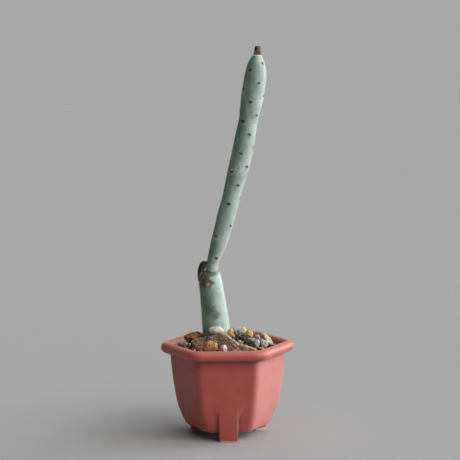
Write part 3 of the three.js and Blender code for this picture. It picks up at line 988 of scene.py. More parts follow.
    def foot_point(self, row: WallRow, step: int, plain: float, limit: float) -> tuple[float, float, float]:
        """Bends a column round the edge of a foot.

        Args:
            row: The level.
            step: The column's number from the middle of the face.
            plain: Where the column lies across a face with no foot.
            limit: Where the first column past the foot lies.

        Returns:
            Distance out of the axis, distance across the face, and height.
        """
        reach, height = row.reach, row.height
        away, rise = row.foot[0] - reach, row.foot[1] - height
        depth = math.hypot(away, rise)
        if depth < TINY:
            return reach, plain, height
        edge, fillet = min(self.foot_edge, 0.4 * depth), min(self.foot_fillet, 0.5 * depth)
        half = self.half_width_of_foot(row.foot[1])
        draft = smoothstep(self.floor_under, self.wall_heights[0], height)
        slope = self.foot_draft * min(depth, self.draft_depth) * draft
        flat_end, edge_end, flank_end, fillet_end = self.foot_steps
        quarter = math.pi / 2
        if step <= flat_end:
            across, lift = (half - edge) * step / flat_end, depth
        elif step <= edge_end:
            turn = (step - flat_end) / (edge_end - flat_end) * quarter
            across, lift = half - edge + edge * math.sin(turn), depth - edge * (1 - math.cos(turn))
        elif step <= flank_end:
            part = (step - edge_end) / (flank_end + 1 - edge_end)
            across, lift = half + slope * part, mix(depth - edge, fillet, part)
        elif step <= fillet_end:
            turn = (step - flank_end) / (fillet_end - flank_end) * quarter
            across, lift = half + slope + fillet * (1 - math.cos(turn)), fillet * (1 - math.sin(turn))
        else:
            part = (step - fillet_end) / (self.foot_columns - fillet_end)
            across, lift = mix(half + slope + fillet, limit, part), 0.0
        across = mix(plain, across, smoothstep(0.0, 1.0, depth))
        return reach + away * lift / depth, across, height + rise * lift / depth

    def place(self, row: WallRow, column: int) -> Vector:
        """Places a point of the skin.

        Args:
            row: The point's level.
            column: Its column around the pot.

        Returns:
            Its place.
        """
        sector, step = divmod(column, 2 * self.half_columns)
        step -= self.half_columns
        angle = self.angle_of(abs(step))
        radius = hexagon_radius(angle, row.reach, row.corner)
        out, across, height = radius * math.cos(angle), radius * math.sin(angle), row.height
        if row.foot and sector in self.foot_sectors and abs(step) < self.foot_columns:
            limit = row.reach * math.tan(self.angle_of(self.foot_columns))
            out, across, height = self.foot_point(row, abs(step), across, limit)
        across = -across if step < 0 else across
        azimuth = self.azimuth_of(sector)
        x = out * math.cos(azimuth) - across * math.sin(azimuth)
        return Vector((x, out * math.sin(azimuth) + across * math.cos(azimuth), height))

    def beside_foot(self, place: Vector) -> float:
        """Measures how close a place on the wall is to a foot's flank, where shade is painted.

        Args:
            place: The place.

        Returns:
            One right beside a flank, and zero away from it.
        """
        closest = 0.0
        for sector in self.foot_sectors:
            azimuth = self.azimuth_of(sector)
            out = place.x * math.cos(azimuth) + place.y * math.sin(azimuth)
            across = abs(place.y * math.cos(azimuth) - place.x * math.sin(azimuth))
            past = across - self.half_width_of_foot(place.z)
            if out > self.foot_shade_reach:
                near = smoothstep(*self.foot_shade_near, past)
                closest = max(closest, near * (1 - smoothstep(*self.foot_shade_far, past)))
        return closest * (1 - smoothstep(*self.foot_shade_high, place.z))

    def mark_wear(self, bm: BMesh) -> None:
        """Records where the clay is worn, and where shade, highlights and a window's sheen are painted on
        it.

        Args:
            bm: The pot's skin.
        """
        ridge, crease, worn, limed = new_marks(bm, "ridge", "crease", "worn", "limed")
        low, high = self.fired_heights
        for vert, bend in zip(bm.verts, bends(bm), strict=True):
            height, out = vert.co.z, math.hypot(vert.co.x, vert.co.y)
            # Painted shade: creases, the band under the bead and the wall beside the feet are darkened.
            painted_shade = self.foot_shade * self.beside_foot(vert.co)
            if low < height < high:
                vert[ridge] = smoothstep(*self.ridge_bend, bend)
                painted_shade = max(painted_shade, smoothstep(*self.crease_bend, -bend))
            if out > self.bead_shade_reach:
                under_bead = math.exp(-(((height - self.bead_crease) / self.bead_shade_width) ** 2))
                painted_shade = max(painted_shade, self.bead_shade * under_bead)
            vert[crease] = painted_shade
            # Painted sheen on the window's side and on the bead's top.
            on_wall = smoothstep(*self.sheen_low, height) * (1 - smoothstep(*self.sheen_high, height))
            by_window = smoothstep(*self.sheen_side, vert.normal.dot(self.window))
            on_bead = smoothstep(*self.bead_low, height) * smoothstep(*self.bead_top, vert.normal.z)
            vert[limed] = self.window_sheen_amount * on_wall * by_window + self.bead_top_sheen * on_bead
            # Pale wear at the standing edge, and wear with a painted highlight on the feet's edges.
            if height < self.foot_top and out > self.bare_reach:
                edge = smoothstep(*self.rubbed_and_lit_bend, bend) * (1 - smoothstep(*self.rubbed_and_lit_height, height))
                vert[worn] = max(1 - smoothstep(*self.bare_height, height), self.rubbed_and_lit_edge * edge)

    def build(self) -> None:
        """Builds and dresses the pot, and dresses its drain net."""
        rows = self.rows()
        columns = self.sides * 2 * self.half_columns
        bm = rolled_sheet(len(rows), columns, lambda row, column: self.place(rows[row], column))

        def dents(place: Vector) -> float:
            """Returns how far a place on the skin is dented, with none under the feet."""
            standing = smoothstep(*self.dent_heights, place.z)
            return self.unevenness * standing * (noise.noise(place / self.dent_width) - self.dent_sink)

        displace(bm, dents)
        self.mark_wear(bm)
        finish_piece("clay_pot", bm, RedFiredClay().material(), "red_clay", "pot")
        net = frame["nodes"]["drain_net"]
        net.data.materials.clear()
        net.data.materials.append(MouldedNet().material())


@dataclass
class Shoot:
    """A round stem along a bent middle line, as heights with places and widths."""

    east: SmoothLine
    depth: SmoothLine
    width: SmoothLine
    foot: float
    top: float
    columns: int = 72
    step: float = 0.8
    fewest_rows: int = 8

    def middle(self, height: float) -> Vector:
        """Returns the point of the middle line at a height."""
        return Vector((self.east.at(height), self.depth.at(height), height))

    def radius(self, height: float) -> float:
        """Returns half the stem's width at a height."""
        return self.width.at(height) / 2

    def axes(self, height: float) -> tuple[Vector, Vector, Vector]:
        """Finds the stem's own directions.

        Args:
            height: Where along the stem.

        Returns:
            The directions along the stem, to its right and away from the viewer.
        """
        along = (self.middle(height + 0.5) - self.middle(height - 0.5)).normalized()
        away = (Vector((0, 1, 0)) - along * along.y).normalized()
        return along, away.cross(along).normalized(), away

    def outward(self, height: float, angle: float) -> Vector:
        """Returns the direction out of the stem at an angle from the front, positive to the right."""
        _, right, away = self.axes(height)
        return right * math.sin(math.radians(angle)) - away * math.cos(math.radians(angle))

    def on_skin(self, height: float, angle: float) -> Vector:
        """Returns the point of the skin at a height and an angle from the front."""
        return self.middle(height) + self.outward(height, angle) * self.radius(height)

    def beyond_skin(self, place: Vector) -> float:
        """Returns how far a place is outside the skin at its own height, or at the nearer end's."""
        height = min(max(place.z, self.foot), self.top)
        return (place - self.middle(height)).length - self.radius(height)

    def body(self) -> BMesh:
        """Builds the stem's closed body.

        Returns:
            The body.
        """
        count = max(round((self.top - self.foot) / self.step), self.fewest_rows)
        # The rows are closer together at the two rounded ends.
        parts = [0.5 - 0.5 * math.cos(math.pi * i / count) for i in range(count + 1)]
        heights = [mix(self.foot, self.top, part) for part in parts]
        rings = [(self.middle(h), self.axes(h), max(self.radius(h), 0.0)) for h in heights]

        def place(row: int, column: int) -> Vector:
            """Places a point of the skin.

            Args:
                row: The point's row, from the foot to the top.
                column: Its column around the stem.

            Returns:
                Its place.
            """
            centre, (_, right, away), radius = rings[row]
            if row in (0, count):
                radius = 0.0
            angle = 2 * math.pi * column / self.columns
            return centre + (right * math.sin(angle) - away * math.cos(angle)) * radius

        return rolled_sheet(count + 1, self.columns, place)


@dataclass(frozen=True)
class LeafScar:
    """A leaf scar: its height on the stem, its angle from the front and its share of the full size."""

    height: float
    angle: float
    size: float = 1.0


@dataclass(frozen=True)
class WaxCloud:
    """A cloud of thick wax: its height on the young stem, its angle, its reach and its strength."""

    height: float
    angle: float
    reach: float
    strength: float


@dataclass
class Euphorbia:
    """The plant: the cut old stem, the young shoot that grew from its side, and their dried ends."""

    grain: float = 0.38
    fork: Vector = field(default_factory=lambda: Vector((-9.5, 0.5, 111.5)))
    fork_reach: float = 9.0
    fork_rounds: int = 4
    # The leaves grew up a 5/13 spiral, closer together higher up. All sizes here are in millimetres.
    first_scar: LeafScar = LeafScar(249.9, 48.0)
    scar_turn: float = 360 * 5 / 13
    scar_steps: Span = (2.6, 4.5)
    close_scars_above: float = 158.0
    scars_above: float = 116.0
    scar_width: float = 1.5
    scar_height: float = 0.8
    scar_sizes: Span = (0.85, 1.15)
    scar_tilts: Span = (-0.25, 0.25)
    scar_area: float = 4.5
    far_side: float = -2.4
    lens_edge: Span = (0.55, 1.15)
    halo_edge: Span = (0.6, 2.4)
    halo_strength: float = 0.6
    cushion_highlight_strength: float = 0.55
    cushion_rise: float = 0.3
    scar_depth: float = 0.25
    scar_seed: int = 13
    old_scars: tuple[LeafScar, ...] = (
        LeafScar(90.3, -76), LeafScar(97.5, 128, 0.8), LeafScar(84.0, -160, 0.9), LeafScar(77.0, 95, 0.9),
    )
    # The window's side is painted pale as a highlight, and the wax is thickest in these clouds.
    window: Vector = field(default_factory=lambda: Vector((0.96, -0.28, 0.1)))
    lit_side_span: Span = (-0.3, 0.75)
    lit_side_strength: float = 0.8
    wax_clouds: tuple[WaxCloud, ...] = (
        WaxCloud(180.5, 12, 6.5, 0.55), WaxCloud(226, 62, 6.5, 0.6), WaxCloud(208, 50, 4.5, 0.5),
        WaxCloud(160, 175, 8, 0.6), WaxCloud(236, -150, 7, 0.6), WaxCloud(134, 100, 5, 0.5),
    )
    cloud_edge: Span = (0.3, 1.0)
    cloud_holes: Span = (-0.6, 0.4)
    # A drop of dried latex hangs over one scar: its height, its angle and how far out it sits.
    latex: tuple[float, float, float] = (178.2, -40.0, 6.8)
    latex_edge: Span = (0.35, 0.85)
    tip_ring: Span = (254.5, 255.0)
    fork_zone_top: float = 125.0
    # The handled patches of the old stem, with their reach.
    rubs: tuple[tuple[Vector, float], ...] = (
        (Vector((-11.1, -4.6, 85.4)), 5.6),
        (Vector((-7.6, -5.1, 81.8)), 4.5),
        (Vector((-12.0, 12.5, 88.0)), 5.0),
    )
    rub_core: float = 1.5
    rub_edge: Span = (0.15, 1.15)
    rub_strength: float = 0.62
    # Painted shade in the fork, where the two stems meet.
    fork_shade_edge: Span = (0.5, 1.7)
    fork_shade_heights: Span = (103, 106)
    fork_shade_strength: float = 0.8
    # The dried skin below the dried end, in spots with their reach, and a pale scab on it.
    stains: tuple[tuple[Vector, float], ...] = (
        (Vector((-17.2, 1.5, 104.0)), 4.2),
        (Vector((-14.6, -1.8, 104.6)), 3.8),
        (Vector((-12.2, -4.0, 103.6)), 2.6),
        (Vector((-9.3, -4.4, 103.8)), 1.3),
    )
    stain_edge: Span = (-0.6, 0.9)
    stain_strength: float = 0.93
    scab: Vector = field(default_factory=lambda: Vector((-12.2, -3.6, 102.7)))
    scab_edge: Span = (0.3, 1.9)
    scab_strength: float = 0.55
    # The dried ends are charred towards their top, and darker towards their left as painted shade, from
    # these parts of their height on.
    dark_end_edge: Span = (0.55, 0.88)
    dark_end_strength: float = 0.9
    shaded_side_width: float = 3.0
    old_stem: Shoot = field(default_factory=lambda: Shoot(
        east=SmoothLine(((42, -6), (66, -7.2), (81, -8.3), (94, -9.6), (105, -11), (114.2, -12))),
        depth=SmoothLine(((42, 4), (114.2, 4))),
        width=SmoothLine((
            (42, 0), (42.6, 7), (46, 13), (52, 17), (60, 18.4), (72, 18.5), (81, 18), (91, 17), (98, 16.4),
            (105, 15.5), (108.5, 13.9), (111.3, 10.9), (113.2, 7), (114.2, 0),
        )),
        foot=42,
        top=114.2,
    ))
    young_stem: Shoot = field(default_factory=lambda: Shoot(
        east=SmoothLine((
            (104.6, -11.4), (111, -10.1), (117.5, -8.9), (125.3, -6.3), (138.8, -2.1), (152.2, 1.7),
            (172.3, 7), (192.3, 12), (212.2, 15.9), (228.7, 19), (241.9, 21.1), (255.3, 22.3),
        )),
        depth=SmoothLine((
            (104.6, 0.9), (117.5, 1.9), (138.8, 2.6), (172.3, 2.6), (212.2, 1.9), (255.3, 1),
        )),
        width=SmoothLine((
            (104.6, 0), (106.5, 5), (109, 7.8), (112, 8.4), (115.2, 7.9), (118.6, 8.4), (122, 9.2),
            (127, 10.4), (133, 11.3), (140, 11.8), (146, 12.1), (159, 12.2), (166, 12.4), (173, 13.1),
            (180, 13.8), (192, 14), (199, 13.7), (206, 13.1), (212, 12.7), (218.5, 13.6), (224, 14.6),
            (229, 15.2), (235, 15.1), (240, 14.7), (245, 13.6), (248.5, 12.1), (251.8, 9.6),
            (254.4, 6.6), (255.3, 5.2),
        )),
        foot=104.6,
        top=255.3,
    ))
    dried_end: Shoot = field(default_factory=lambda: Shoot(
        east=SmoothLine(((102.4, -14.1), (110, -14.5), (117.5, -14.9))),
        depth=SmoothLine(((102.4, 4.2), (117.5, 4.1))),
        width=SmoothLine((
            (102.4, 0), (103.6, 8.6), (105.5, 10.3), (108.5, 10.2), (111.5, 9.4), (114, 8), (115.9, 5.8),
            (117.1, 3.2), (117.5, 0),
        )),
        foot=102.4,
        top=117.5,
        columns=64,
        step=0.3,
    ))
    dried_tip: Shoot = field(default_factory=lambda: Shoot(
        east=SmoothLine(((254.4, 22.25), (258, 22.7), (261.1, 22.9))),
        depth=SmoothLine(((254.4, 1), (261.1, 1))),
        width=SmoothLine((
            (254.4, 5), (255.6, 5.3), (257, 5), (259, 4.6), (260.2, 4), (260.8, 3), (261.1, 0),
        )),
        foot=254.4,
        top=261.1,
        columns=56,
        step=0.22,
    ))

    def scars(self) -> list[tuple[Shoot, LeafScar]]:
        """Lays out each stem's leaf scars, on the young shoot down the spiral in which its leaves grew.

        Returns:
            The scars, each with its stem.
        """
        found = [(self.old_stem, scar) for scar in self.old_scars]
        height, angle = self.first_scar.height, self.first_scar.angle
        close, wide = self.scar_steps
        while height > self.scars_above:
            found.append((self.young_stem, LeafScar(height, angle)))
            angle += self.scar_turn
            height -= close if height > self.close_scars_above else wide
        return found

    def mark_scars(self, bm: BMesh) -> None:
        """Sinks each leaf scar into its low cushion, and records both for the finish, the cushion with a
        painted highlight.

        Args:
            bm: The fused stems.
        """
        dark, around, pale = new_marks(bm, "scar", "halo", "cushion")
        bm.verts.ensure_lookup_table()
        tree = KDTree(len(bm.verts))
        for vert in bm.verts:
            tree.insert(vert.co, vert.index)
        tree.balance()
        rng = random.Random(self.scar_seed)
        for stem, scar in self.scars():
            along, _, _ = stem.axes(scar.height)
            out = stem.outward(scar.height, scar.angle)
            across = along.cross(out)
            centre = stem.on_skin(scar.height, scar.angle)
            size = scar.size * rng.uniform(*self.scar_sizes)
            tilt = rng.uniform(*self.scar_tilts)
            for place, index, _ in tree.find_range(centre, self.scar_area):
                vert = bm.verts[index]
                offset = place - centre
                if offset.dot(out) < self.far_side:
                    continue
                a = (offset.dot(across) + tilt * offset.dot(along)) / size / self.scar_width
                b = (offset.dot(along) - tilt * offset.dot(across)) / size / self.scar_height
                # A lens with pointed ends: its height narrows away from the middle.
                reach = abs(b) + a * a + 0.25 * noise.noise(place * 1.9)
                lens = 1 - smoothstep(*self.lens_edge, reach)
                halo = 1 - smoothstep(*self.halo_edge, reach)
                # The cushion is wider than the scar, and lies a little below it. Its pale colour is a
                # painted highlight.
                swell = math.exp(-((0.75 * a) ** 2) - ((b + 1.0) / 2.2) ** 2)
                vert[dark] = max(vert[dark], lens)
                vert[around] = max(vert[around], self.halo_strength * halo)
                vert[pale] = max(vert[pale], self.cushion_highlight_strength * swell * (1 - halo))
                vert.co += out * (self.cushion_rise * swell - self.scar_depth * lens)

    def rub_and_shade_at(self, place: Vector, cloud: float, fine: float) -> float:
        """Finds how far the wax is rubbed off a place on the old stem, and how much shade is painted in the
        fork.

        Args:
            place: The place.
            cloud: A ragged value there, in wide patches.
            fine: A ragged value there, in narrow patches.

        Returns:
            Zero where the wax is whole and no shade is painted.
        """
        rub = max(1 - smoothstep(self.rub_core, reach, (place - spot).length) for spot, reach in self.rubs)
        handled = self.rub_strength * smoothstep(*self.rub_edge, rub + 0.6 * cloud + 0.35 * fine)
        stems = (self.old_stem, self.young_stem)
        gap = max(abs((place - stem.middle(place.z)).length - stem.radius(place.z)) for stem in stems)
        fork_shade = 1 - smoothstep(*self.fork_shade_edge, gap + 0.5 * fine)
        return max(handled, self.fork_shade_strength * fork_shade * smoothstep(*self.fork_shade_heights, place.z))

    def dried_at(self, place: Vector, cloud: float, fine: float) -> float:
        """Finds how far the skin has dried at a place near the old stem's dried end.

        Args:
            place: The place.
            cloud: A ragged value there, in wide patches.
            fine: A ragged value there, in narrow patches.

        Returns:
            Zero where the skin is green.
        """
        away = max(self.dried_end.beyond_skin(place), self.dried_end.foot + 1 - place.z)
        away = min(away, *((place - spot).length - reach for spot, reach in self.stains))
        return self.stain_strength * (1 - smoothstep(*self.stain_edge, away + 1.1 * cloud + 0.3 * fine))

    def mark_skin(self, bm: BMesh) -> None:
        """Records where the wax is thick or rubbed off, where the skin has dried, and where a highlight on
        the window's side and shade in the fork are painted.

        Args:
            bm: The fused stems.
        """
        rubbed, dried, bloom, sunny, ring = new_marks(bm, "rubbed", "dried", "bloom", "sunny", "ring")
        clouds = [(self.young_stem.on_skin(wax.height, wax.angle), wax) for wax in self.wax_clouds]
        height, angle, out = self.latex
        latex = self.young_stem.middle(height) + self.young_stem.outward(height, angle) * out
        bm.normal_update()
        for vert in bm.verts:
            place = vert.co
            cloud = ragged(place, 3.4, 0.6, 4)
            # Painted highlight on the side that faces the window.
            lit = smoothstep(*self.lit_side_span, vert.normal.dot(self.window) + 0.12 * cloud)
            vert[sunny] = self.lit_side_strength * lit
            if place.z < self.fork_zone_top:
                fine = ragged(place, 1.3, 0.7, 3)
                vert[rubbed] = self.rub_and_shade_at(place, cloud, fine)
                vert[dried] = self.dried_at(place, cloud, fine)
                scab = (place - self.scab).length + 0.8 * fine
                vert[ring] = self.scab_strength * (1 - smoothstep(*self.scab_edge, scab))
            else:
                pale = max(
                    wax.strength * (1 - smoothstep(*self.cloud_edge, (place - spot).length / wax.reach))
                    for spot, wax in clouds
                )
                pale *= smoothstep(*self.cloud_holes, ragged(place, 1.6, 0.6, 3))
                vert[bloom] = max(pale, 1 - smoothstep(*self.latex_edge, (place - latex).length))
                vert[ring] = smoothstep(*self.tip_ring, place.z + 0.3 * cloud)

    def skin(self) -> BMesh:
        """Fuses the old stem and the young shoot, and softens the fork between them.

        Returns:
            The fused stems.
        """
        bm = self.old_stem.body()
        young = new_mesh("young", self.young_stem.body())
        bm.from_mesh(young)
        bpy.data.meshes.remove(young)
        bm = remeshed(bm, self.grain)
        near = [vert for vert in bm.verts if (vert.co - self.fork).length < self.fork_reach]
        soften(bm, near, self.fork_rounds)
        soften(bm, bm.verts)
        return bm

    def dry(self, name: str, stem: Shoot, node: str, lean: float, finish: Material) -> None:
        """Builds and dresses a dried end.

        Args:
            name: The piece's name.
            stem: Its plain form.
            node: The CAD node that it replaces.
            lean: Where its shaded side ends, in shaded-side widths from the middle, below zero to the left.
            finish: Its finish.
        """

        def wrinkles(place: Vector) -> float:
            """Returns the height of the wrinkles, which run along the stub."""
            folds = noise.fractal(Vector((place.x / 1.3, place.y / 1.3, place.z / 5)), 0.7, FINER, 4)
            return 0.32 * folds + 0.1 * noise.noise(place * 1.7)

        body = stem.body()
        displace(body, wrinkles)
        (charred,) = new_marks(body, "charred")
        for vert in body.verts:
            height = (vert.co.z - stem.foot) / (stem.top - stem.foot)
            side = (vert.co.x - stem.middle(vert.co.z).x) / self.shaded_side_width
            # Charred towards the top, and painted shade towards the left.
            cut = height + 0.25 * noise.noise(vert.co * 0.9) - 0.3 * (side - lean)
            vert[charred] = self.dark_end_strength * smoothstep(*self.dark_end_edge, cut)
        finish_piece(name, body, finish, "dried_stem", node)

    def build(self) -> bpy.types.Object:
        """Builds and dresses the plant.

        Returns:
            The fused stems.
        """
        bm = self.skin()

        def growth(place: Vector) -> float:
            """Returns how far the flesh swells out, in slow waves along the stem and in finer ones."""
            slow = noise.noise(Vector((place.x / 9, place.y / 9, place.z / 16)))
            return 0.16 * slow + 0.05 * noise.noise(place / 2.4)

        displace(bm, growth)
        self.mark_scars(bm)
        self.mark_skin(bm)
        skin = WaxySkin().material()
        stems = finish_piece("stems", bm, skin, "waxy_young_stem", "old_stem", "young_stem")
        finish = DriedTissue().material()
        self.dry("dried_end_of_old_stem", self.dried_end, "old_stem_dried_end", -0.35, finish)
        self.dry("dried_tip_of_young_stem", self.dried_tip, "young_stem_dried_tip", -0.3, finish)
        return stems


class RockKind(Enum):
    """The kinds of stone in the top dressing, by their slot in the record."""

    # Their colours, then patch, speck, share of specks, pits, roughness and glow.
    BROWN_LAVA = Rock("granular_brown_lava", "#795A41", "#463123", "#B8997A", 1.6, 0.8, 0.45, 0.22, 0.85)
    TAN_ROCK = Rock("tan_weathered_rock", "#8D6D4A", "#553B26", "#BC9E72", 2.6, 0.6, 0.4, 0.16, 0.8)
    WHITE_STONE = Rock("milky_quartz", "#DFD6CD", "#B3A79C", "#F3EFEA", 2.6, 0.9, 0.12, 0.06, 0.5, 0.15)
    BLUISH_STONE = Rock("bluish_quartz", "#D0D4D2", "#86857F", "#F0F3F2", 1.7, 0.7, 0.2, 0.1, 0.5, 0.1)
    CREAM_STONE = Rock("cream_pumice", "#D8CCB6", "#978567", "#F3EBDC", 1.8, 0.5, 0.35, 0.14, 0.8)
    YELLOW_STONE = Rock("amber_chert", "#D9B26C", "#96692F", "#F3DFB0", 2.0, 0.7, 0.2, 0.09, 0.5, 0.1)
    ORANGE_STONE = Rock("baked_clay_granule", "#BE8A5A", "#83552F", "#E2BE93", 2.4, 0.5, 0.35, 0.13, 0.8)
    TAN_STONE = Rock("tan_sandstone", "#AB8450", "#5C4124", "#D4B27C", 2.2, 0.45, 0.35, 0.13, 0.8)
    PALE_TAN_STONE = Rock("pale_tan_limestone", "#BCA68C", "#83705A", "#D9C8B2", 2.4, 0.6, 0.25, 0.12, 0.75)
    BROWN_STONE = Rock("brown_shale", "#80674B", "#423121", "#AB9270", 1.8, 0.5, 0.35, 0.13, 0.75)
    GREY_STONE = Rock("grey_granite", "#B0A79C", "#645C53", "#D8D1C7", 1.4, 0.45, 0.4, 0.12, 0.7)
    DARK_STONE = Rock("dark_basalt", "#4C3B30", "#231915", "#7D6650", 1.6, 0.5, 0.35, 0.16, 0.7)
    OLIVE_STONE = Rock("olive_chert", "#8F8459", "#4B432B", "#BDB283", 1.9, 0.6, 0.3, 0.11, 0.65)

    @property
    def slot(self) -> str:
        """The record's material slot of this kind."""
        return self.name.lower()


@dataclass(frozen=True)
class StoneShape:
    """How a stone's surface came to be: how far it is worn round and how lumpy it is."""

    wear: int = 3
    lumps: float = 0.35
    crumbs: float = 0.12


class Surface(Enum):
    """The surfaces that the stones have."""

    PEBBLE = StoneShape(wear=9, lumps=0.25, crumbs=0.05)
    BROKEN = StoneShape(wear=2, lumps=0.4, crumbs=0.12)
    PITTED = StoneShape(wear=3, lumps=0.5, crumbs=0.3)
    GRANULAR = StoneShape(wear=2, lumps=0.5, crumbs=0.5)
    FLAKY = StoneShape(wear=1, lumps=0.45, crumbs=0.2)


@dataclass
class TopDressing:
    """The stones, bark chips and twig that lie on the potting mix."""

    finest: float = 0.13
    coarsest: float = 0.34
    grains_along: int = 30
    lump_share: float = 0.22
    least_lump: float = 0.9
    # Each stone reads the noise one such step from the stone before it, so its lumps are its own.
    noise_steps: tuple[float, float, float] = (7.3, 3.1, 5.7)
    edge_bend: Span = (0.1, 0.4)
    edge_strength: float = 0.65
    hollow_bend: Span = (0.05, 0.35)
    hollow_strength: float = 0.7
    rounded: tuple[str, ...] = (
        "white_pebble_at_stem", "white_pebble_at_rim", "orange_pebble", "bluish_stone",
    )
    # Stones that are filled out or drawn in about their middle, and then moved.
    reshaped: dict[str, tuple[Vector, Vector]] = field(default_factory=lambda: {
        "brown_slab": (Vector((1.0, 1.0, 1.09)), Vector((0.0, 0.0, 0.55))),
        "orange_pebble": (Vector((1.22, 1.05, 1.06)), Vector((-0.6, 0.0, 0.1))),
        "white_pebble_at_rim": (Vector((1.16, 1.05, 1.12)), Vector((0.0, 0.0, 0.2))),
        "tan_rock": (Vector((1.5, 1.0, 1.05)), Vector((2.0, 0.0, 0.2))),
        "cream_stone": (Vector((1.5, 1.0, 1.1)), Vector((-1.0, 0.0, 0.1))),
        "olive_stone": (Vector((0.8, 0.9, 0.8)), Vector((-0.5, 0.0, -0.5))),
        "amber_stone": (Vector((1.05, 1.1, 1.0)), Vector((-1.3, 0.0, 0.0))),
        "leaning_tan_slab": (Vector((1.08, 1.25, 1.08)), Vector((0.0, -0.4, 0.2))),
        "bluish_stone": (Vector((1.3, 1.1, 1.0)), Vector((-0.4, 0.0, 0.0))),
        "whitish_stone": (Vector((1.2, 1.1, 1.05)), Vector((0.0, 0.0, 0.1))),
    })
    # The brown slab's upper edge has a painted highlight along this line, where it is lit.
    slab: str = "brown_slab"
    lit_edge_line: tuple[Vector, ...] = (
        Vector((-3.2, -12.9, 70.7)), Vector((0.5, -13.6, 69.6)), Vector((4.8, -15.2, 66.5)),
        Vector((7.6, -16.8, 64.4)), Vector((12.7, -19.0, 63.4)), Vector((18.5, -19.8, 61.7)),
    )
    lit_edge_reach: Span = (0.76, 1.9)
    lit_edge_strength: float = 0.95
    by_slot: dict[str, Surface] = field(default_factory=lambda: {
        "brown_lava": Surface.GRANULAR,
        "tan_rock": Surface.PITTED,
        "cream_stone": Surface.PITTED,
        "orange_stone": Surface.PITTED,
        "bark": Surface.FLAKY,
    })

    def edge_distance(self, place: Vector) -> float:
        """Measures how far a place is from the line of the slab's painted highlight.

        Args:
            place: The place.

        Returns:
            The distance in millimetres.
        """
        distances = []
        for start, end in zip(self.lit_edge_line, self.lit_edge_line[1:]):
            part = min(max(intersect_point_line(place, start, end)[1], 0.0), 1.0)
            distances.append((place - start.lerp(end, part)).length)
        return min(distances)

    def carve(self, node: str, shape: StoneShape, seed: int) -> BMesh:
        """Carves a natural stone out of a CAD node's plain solid.

        Args:
            node: The CAD node.
            shape: How its surface came to be.
            seed: Makes its lumps differ from its neighbours'.

        Returns:
            The stone in millimetres.
        """
        bm = merged_copy(node)
        low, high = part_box(node)
        longest = max(high - low) / MILLIMETRE
        if node in self.reshaped:
            factor, move = self.reshaped[node]
            middle = Matrix.Translation(-(low + high) / 2 / MILLIMETRE)
            bmesh.ops.scale(bm, vec=factor, space=middle, verts=bm.verts)
            bmesh.ops.translate(bm, vec=move, verts=bm.verts)
        bm = remeshed(bm, min(max(longest / self.grains_along, self.finest), self.coarsest))
        soften(bm, bm.verts, shape.wear)
        shift = Vector([seed * step for step in self.noise_steps])
        lump = max(longest * self.lump_share, self.least_lump)

        def weathering(place: Vector) -> float:
            """Adds up the stone's lumps, its broken facets and its crumbs.

            Args:
                place: A place on the stone.

            Returns:
                How far it stands out there.
            """
            big = noise.noise(place / lump + shift)
            facets = abs(noise.noise(place / (0.6 * lump) + shift)) - 0.25
            fine = noise.fractal(place / 0.9 + shift, 0.8, 2.2, 4)
            return lump * (0.16 * big + 0.12 * facets) * shape.lumps + shape.crumbs * (0.6 * fine - 0.15)

        displace(bm, weathering)
        edge, dirt = new_marks(bm, "worn_edge", "dirt")
        # Paler on ridges and darker in hollows, by how the surface bends.
        for vert, bend in zip(bm.verts, bends(bm), strict=True):
            vert[edge] = self.edge_strength * smoothstep(*self.edge_bend, bend)
            vert[dirt] = self.hollow_strength * smoothstep(*self.hollow_bend, -bend)
            if node == self.slab:
                # Painted highlight along the slab's lit upper edge.
                away = self.edge_distance(vert.co) + 0.5 * noise.noise(vert.co / 0.8)
                lit_edge = self.lit_edge_strength * (1 - smoothstep(*self.lit_edge_reach, away))
                vert[edge] = max(vert[edge], lit_edge)
        return bm

    def build(self) -> list[bpy.types.Object]:
        """Builds and dresses every stone, chip and the twig.

        Returns:
            The pieces.
        """
        finishes = {kind.slot: kind.value.material() for kind in RockKind}
        finishes["bark"] = DeadBark().material()
        parts = [(part["node"], part["material_slot"]) for part in frame["record"]["subparts"]]
        pieces = []
        for seed, (node, slot) in enumerate(part for part in parts if part[1] in finishes):
            surface = Surface.PEBBLE if node in self.rounded else self.by_slot.get(slot, Surface.BROKEN)
            bm = self.carve(node, surface.value, seed)
            pieces.append(finish_piece(f"{node}_carved", bm, finishes[slot], slot, node))
        return pieces


@dataclass(frozen=True)
class Sieve:
    """A batch of grit: how many grains, between which sizes, and which share of them may lie on stones."""

    count: int
    small: float
    large: float
    on_stones: float


